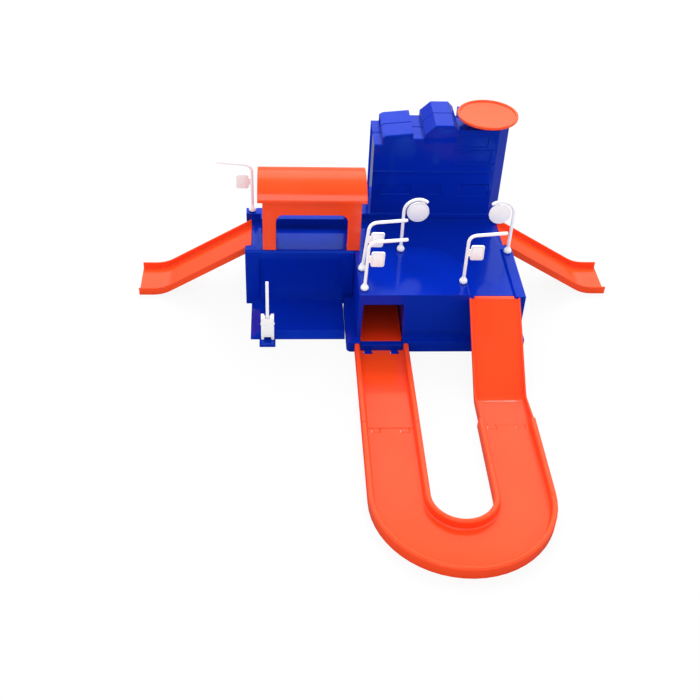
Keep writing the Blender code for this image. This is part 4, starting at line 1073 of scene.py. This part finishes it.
@dataclass
class Studio:
    """Pale floor, soft light and the photograph's camera.

    Glossy surfaces mirror a room as bright as its glow, which falls to its shade over the ceiling's band of
    upward directions, and times the horizon over the foot's band.
    """

    camera_mm: tuple[float, float, float] = (-92.01, -670.825, 601.51)
    yaw: float = 5.01
    pitch: float = 40.11
    roll: float = 3.08
    lens: float = 52.16
    sensor: float = 36.0
    clip: tuple[float, float] = (0.01, 20.0)
    lamps: tuple[Lamp, ...] = (
        Lamp("behind", (0.15, 1.25, 1.15), 1.10, 38.0, False),
        Lamp("top", (-0.05, -0.30, 1.30), 0.40, 1.2, True),
        Lamp("glint", (0.40, 0.46, 1.27), 0.06, 0.5, True),
    )
    aim: tuple[float, float, float] = (0.0, 0.0, 0.05)
    dim: float = 0.94
    bright: float = 1.20
    glow: float = 0.95
    shade: float = 0.10
    ceiling: tuple[float, float] = (0.73, 0.82)
    horizon: float = 0.25
    foot: tuple[float, float] = (0.15, 0.38)
    floor: float = 0.60
    floor_mirrored: float = 0.14
    floor_glow: float = 0.91
    floor_roughness: float = 0.9
    floor_half: float = 4.0
    floor_drop: float = 0.0002

    def build(self) -> None:
        """Make the floor, lamps, world and camera."""
        self._floor()
        self._world()
        for lamp in self.lamps:
            self._lamp(lamp)
        self._camera()

    def _camera(self) -> None:
        """Set the camera from its yaw to the right, pitch down and roll, as solved from the photograph."""
        yaw, pitch, roll = (math.radians(v) for v in (self.yaw, self.pitch, self.roll))
        ahead = Vector((math.sin(yaw) * math.cos(pitch), math.cos(yaw) * math.cos(pitch), -math.sin(pitch)))
        level = Vector((math.cos(yaw), -math.sin(yaw), 0.0))
        upright = level.cross(ahead)
        right = level * math.cos(roll) + upright * math.sin(roll)
        up = upright * math.cos(roll) - level * math.sin(roll)
        turn = Matrix((right, up, -ahead)).transposed()
        data = bpy.data.cameras.new("photo_camera")
        data.sensor_width = self.sensor
        data.lens = self.lens
        data.clip_start, data.clip_end = self.clip
        camera = bpy.data.objects.new("photo_camera", data)
        camera.matrix_world = Matrix.Translation(Vector(self.camera_mm) * MM) @ turn.to_4x4()
        bpy.context.scene.collection.objects.link(camera)
        bpy.context.scene.camera = camera

    def _floor(self) -> None:
        """Make a wide white floor that shows a faint contact shadow and is mirrored dark."""
        half = self.floor_half
        mesh = bpy.data.meshes.new("floor")
        corners = [(-half, -half, 0.0), (half, -half, 0.0), (half, half, 0.0), (-half, half, 0.0)]
        mesh.from_pydata(corners, [], [(0, 1, 2, 3)])
        floor = bpy.data.objects.new("floor", mesh)
        floor.location.z = -self.floor_drop
        bpy.context.scene.collection.objects.link(floor)
        paint = bpy.data.materials.new("white_floor")
        paint.use_nodes = True
        tree = paint.node_tree
        shader = tree.nodes["Principled BSDF"]
        shader.inputs["Roughness"].default_value = self.floor_roughness
        shader.inputs["Specular IOR Level"].default_value = 0.0
        light = tree.nodes.new("ShaderNodeEmission")
        mix = tree.nodes.new("ShaderNodeMixShader")
        rays = tree.nodes.new("ShaderNodeLightPath").outputs
        greys = (self.floor, self.floor_mirrored)
        grey = self._between(tree, rays["Is Glossy Ray"], (0.0, 1.0), greys)
        tree.links.new(grey, shader.inputs["Base Color"])
        seen = self._between(tree, rays["Is Camera Ray"], (0.0, 1.0), (0.0, self.floor_glow))
        tree.links.new(seen, mix.inputs["Fac"])
        tree.links.new(shader.outputs[0], mix.inputs[1])
        tree.links.new(light.outputs[0], mix.inputs[2])
        tree.links.new(mix.outputs[0], tree.nodes["Material Output"].inputs["Surface"])
        mesh.materials.append(paint)

    def _world(self) -> None:
        """Light everything from above and show white behind it all.

        Glossy surfaces mirror a pale room with a dark ceiling and a dark foot of its walls.
        """
        world = bpy.data.worlds.new("studio")
        bpy.context.scene.world = world
        world.use_nodes = True
        tree = world.node_tree
        way = tree.nodes.new("ShaderNodeTexCoord").outputs["Object"]
        parts = tree.nodes.new("ShaderNodeSeparateXYZ")
        tree.links.new(way, parts.inputs[0])
        up = parts.outputs["Z"]
        rays = tree.nodes.new("ShaderNodeLightPath")
        soft = self._between(tree, up, (0.0, 1.0), (self.dim, self.bright))
        above = self._between(tree, up, self.ceiling, (self.glow, self.shade))
        below = self._between(tree, up, self.foot, (self.horizon, 1.0))
        both = tree.nodes.new("ShaderNodeMath")
        both.operation = "MULTIPLY"
        tree.links.new(above, both.inputs[0])
        tree.links.new(below, both.inputs[1])
        mirrored = self._either(tree, rays.outputs["Is Glossy Ray"], soft, both.outputs[0])
        white = tree.nodes.new("ShaderNodeValue").outputs[0]
        white.default_value = 1.0
        strength = self._either(tree, rays.outputs["Is Camera Ray"], mirrored, white)
        strength = self._either(tree, rays.outputs["Is Transmission Ray"], strength, white)
        tree.links.new(strength, tree.nodes["Background"].inputs["Strength"])
        tree.nodes["Background"].inputs["Color"].default_value = (1.0, 1.0, 1.0, 1.0)

    def _between(
        self,
        tree: bpy.types.NodeTree,
        source: bpy.types.NodeSocket,
        given: tuple[float, float],
        wanted: tuple[float, float],
    ) -> bpy.types.NodeSocket:
        """Map a value from one range to another with soft ends.

        Args:
            tree: The node tree.
            source: The value.
            given: Its range.
            wanted: The result's range.

        Returns:
            The result's socket.
        """
        node = tree.nodes.new("ShaderNodeMapRange")
        node.interpolation_type = "SMOOTHSTEP"
        node.inputs["From Min"].default_value, node.inputs["From Max"].default_value = given
        node.inputs["To Min"].default_value, node.inputs["To Max"].default_value = wanted
        tree.links.new(source, node.inputs["Value"])
        return node.outputs["Result"]

    def _either(
        self,
        tree: bpy.types.NodeTree,
        switch: bpy.types.NodeSocket,
        off: bpy.types.NodeSocket,
        on: bpy.types.NodeSocket,
    ) -> bpy.types.NodeSocket:
        """Choose between two values.

        Args:
            tree: The node tree.
            switch: 0 or 1.
            off: The value for 0.
            on: The value for 1.

        Returns:
            The chosen value's socket.
        """
        node = tree.nodes.new("ShaderNodeMix")
        tree.links.new(switch, node.inputs["Factor"])
        tree.links.new(off, node.inputs["A"])
        tree.links.new(on, node.inputs["B"])
        return node.outputs["Result"]

    def _lamp(self, lamp: Lamp) -> None:
        """Add a lamp that points at the toy's middle.

        Args:
            lamp: The lamp.
        """
        data = bpy.data.lights.new(lamp.name, "AREA")
        data.shape = "SQUARE"
        data.size = lamp.size
        data.energy = lamp.power
        hung = bpy.data.objects.new(lamp.name, data)
        hung.visible_glossy = lamp.mirrored
        hung.location = lamp.place
        way = Vector(self.aim) - Vector(lamp.place)
        hung.rotation_euler = way.to_track_quat("-Z", "Y").to_euler()
        bpy.context.scene.collection.objects.link(hung)


MOULDINGS = {
    "garage_block": Moulding(
        Plastic.BLUE,
        0.5,
        (
            # The rounded edge of the deck's raised part, its curve and then its right side.
            SoftEdges((-24.0, 109.0, 61.1), (76.0, 121.0, 61.3), 1.5, 0.44),
            SoftEdges((64.0, 43.0, 61.1), (76.0, 110.0, 61.3), 1.5, 0.44),
            # The lower outline, and the roots of the hooks on it.
            SoftEdges((-40.0, 30.0, -0.1), (140.0, 230.0, 0.1), 0.2),
            SoftEdges((-21.0, 30.0, -0.1), (18.0, 38.0, 2.6), 0.0),
            # The tunnel wall's lower edge, so near the ground that a wider rounding would pass it.
            SoftEdges((18.0, 45.0, 0.2), (21.0, 148.0, 0.4), 0.2),
        ),
    ),
    "parking_block": Moulding(Plastic.BLUE, 0.5),
    "skyline_front": Moulding(
        Plastic.BLUE,
        0.45,
        (
            # The roofs' edges along the seam and along the front.
            SoftEdges((-7.0, 192.9, 140.0), (122.0, 193.1, 170.0), 0.8),
            SoftEdges((-7.0, 167.0, 140.0), (122.0, 169.4, 170.0), 1.3),
        ),
    ),
    "skyline_back": Moulding(
        Plastic.BLUE, 0.45, (SoftEdges((-7.0, 193.2, 140.0), (122.0, 193.4, 170.0), 0.8),)
    ),
    "canopy": Moulding(Plastic.ORANGE, 0.5),
    "left_ramp": Moulding(Plastic.ORANGE, 0.45),
    "right_ramp": Moulding(Plastic.ORANGE, 0.45),
    # The zones of the front ramp and the straight track are the undersides of their hooks.
    "front_ramp": Moulding(
        Plastic.ORANGE, 0.4, (SoftEdges((81.0, -66.0, 0.2), (115.0, -60.0, 0.4), 0.2),)
    ),
    "tunnel_chute": Moulding(Plastic.ORANGE, 0.35),
    "straight_track": Moulding(
        Plastic.ORANGE, 0.35, (SoftEdges((-18.0, -70.0, 0.2), (16.0, -63.0, 0.4), 0.2),)
    ),
    "bent_track": Moulding(Plastic.ORANGE, 0.35),
    "barrier_housing": Moulding(Plastic.WHITE, 0.35),
    "barrier_arm": Moulding(Plastic.WHITE, 0.35),
    "barrier_pin": Moulding(Plastic.WHITE, 0.2),
}


def main() -> None:
    """Build and dress every piece in order, then the studio."""
    logging.basicConfig(level=logging.INFO, format="%(name)s: %(message)s")
    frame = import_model()
    bpy.context.scene.view_settings.view_transform = "Standard"
    group = MouldingGroup()
    tools = Toolbox(
        frame,
        {plastic: finish.material(group) for plastic, finish in FINISHES.items()},
        {node: finish.material(group) for node, finish in OWN_FINISHES.items()},
    )
    RoundedCopies(tools, MOULDINGS).build()
    RoadSigns(tools).build()
    RoundMirrors(tools).build()
    LandingPad(tools).build()
    Studio().build()
    LOG.info("%d pieces are dressed", len(tools.done))


if __name__ == "__main__":
    main()
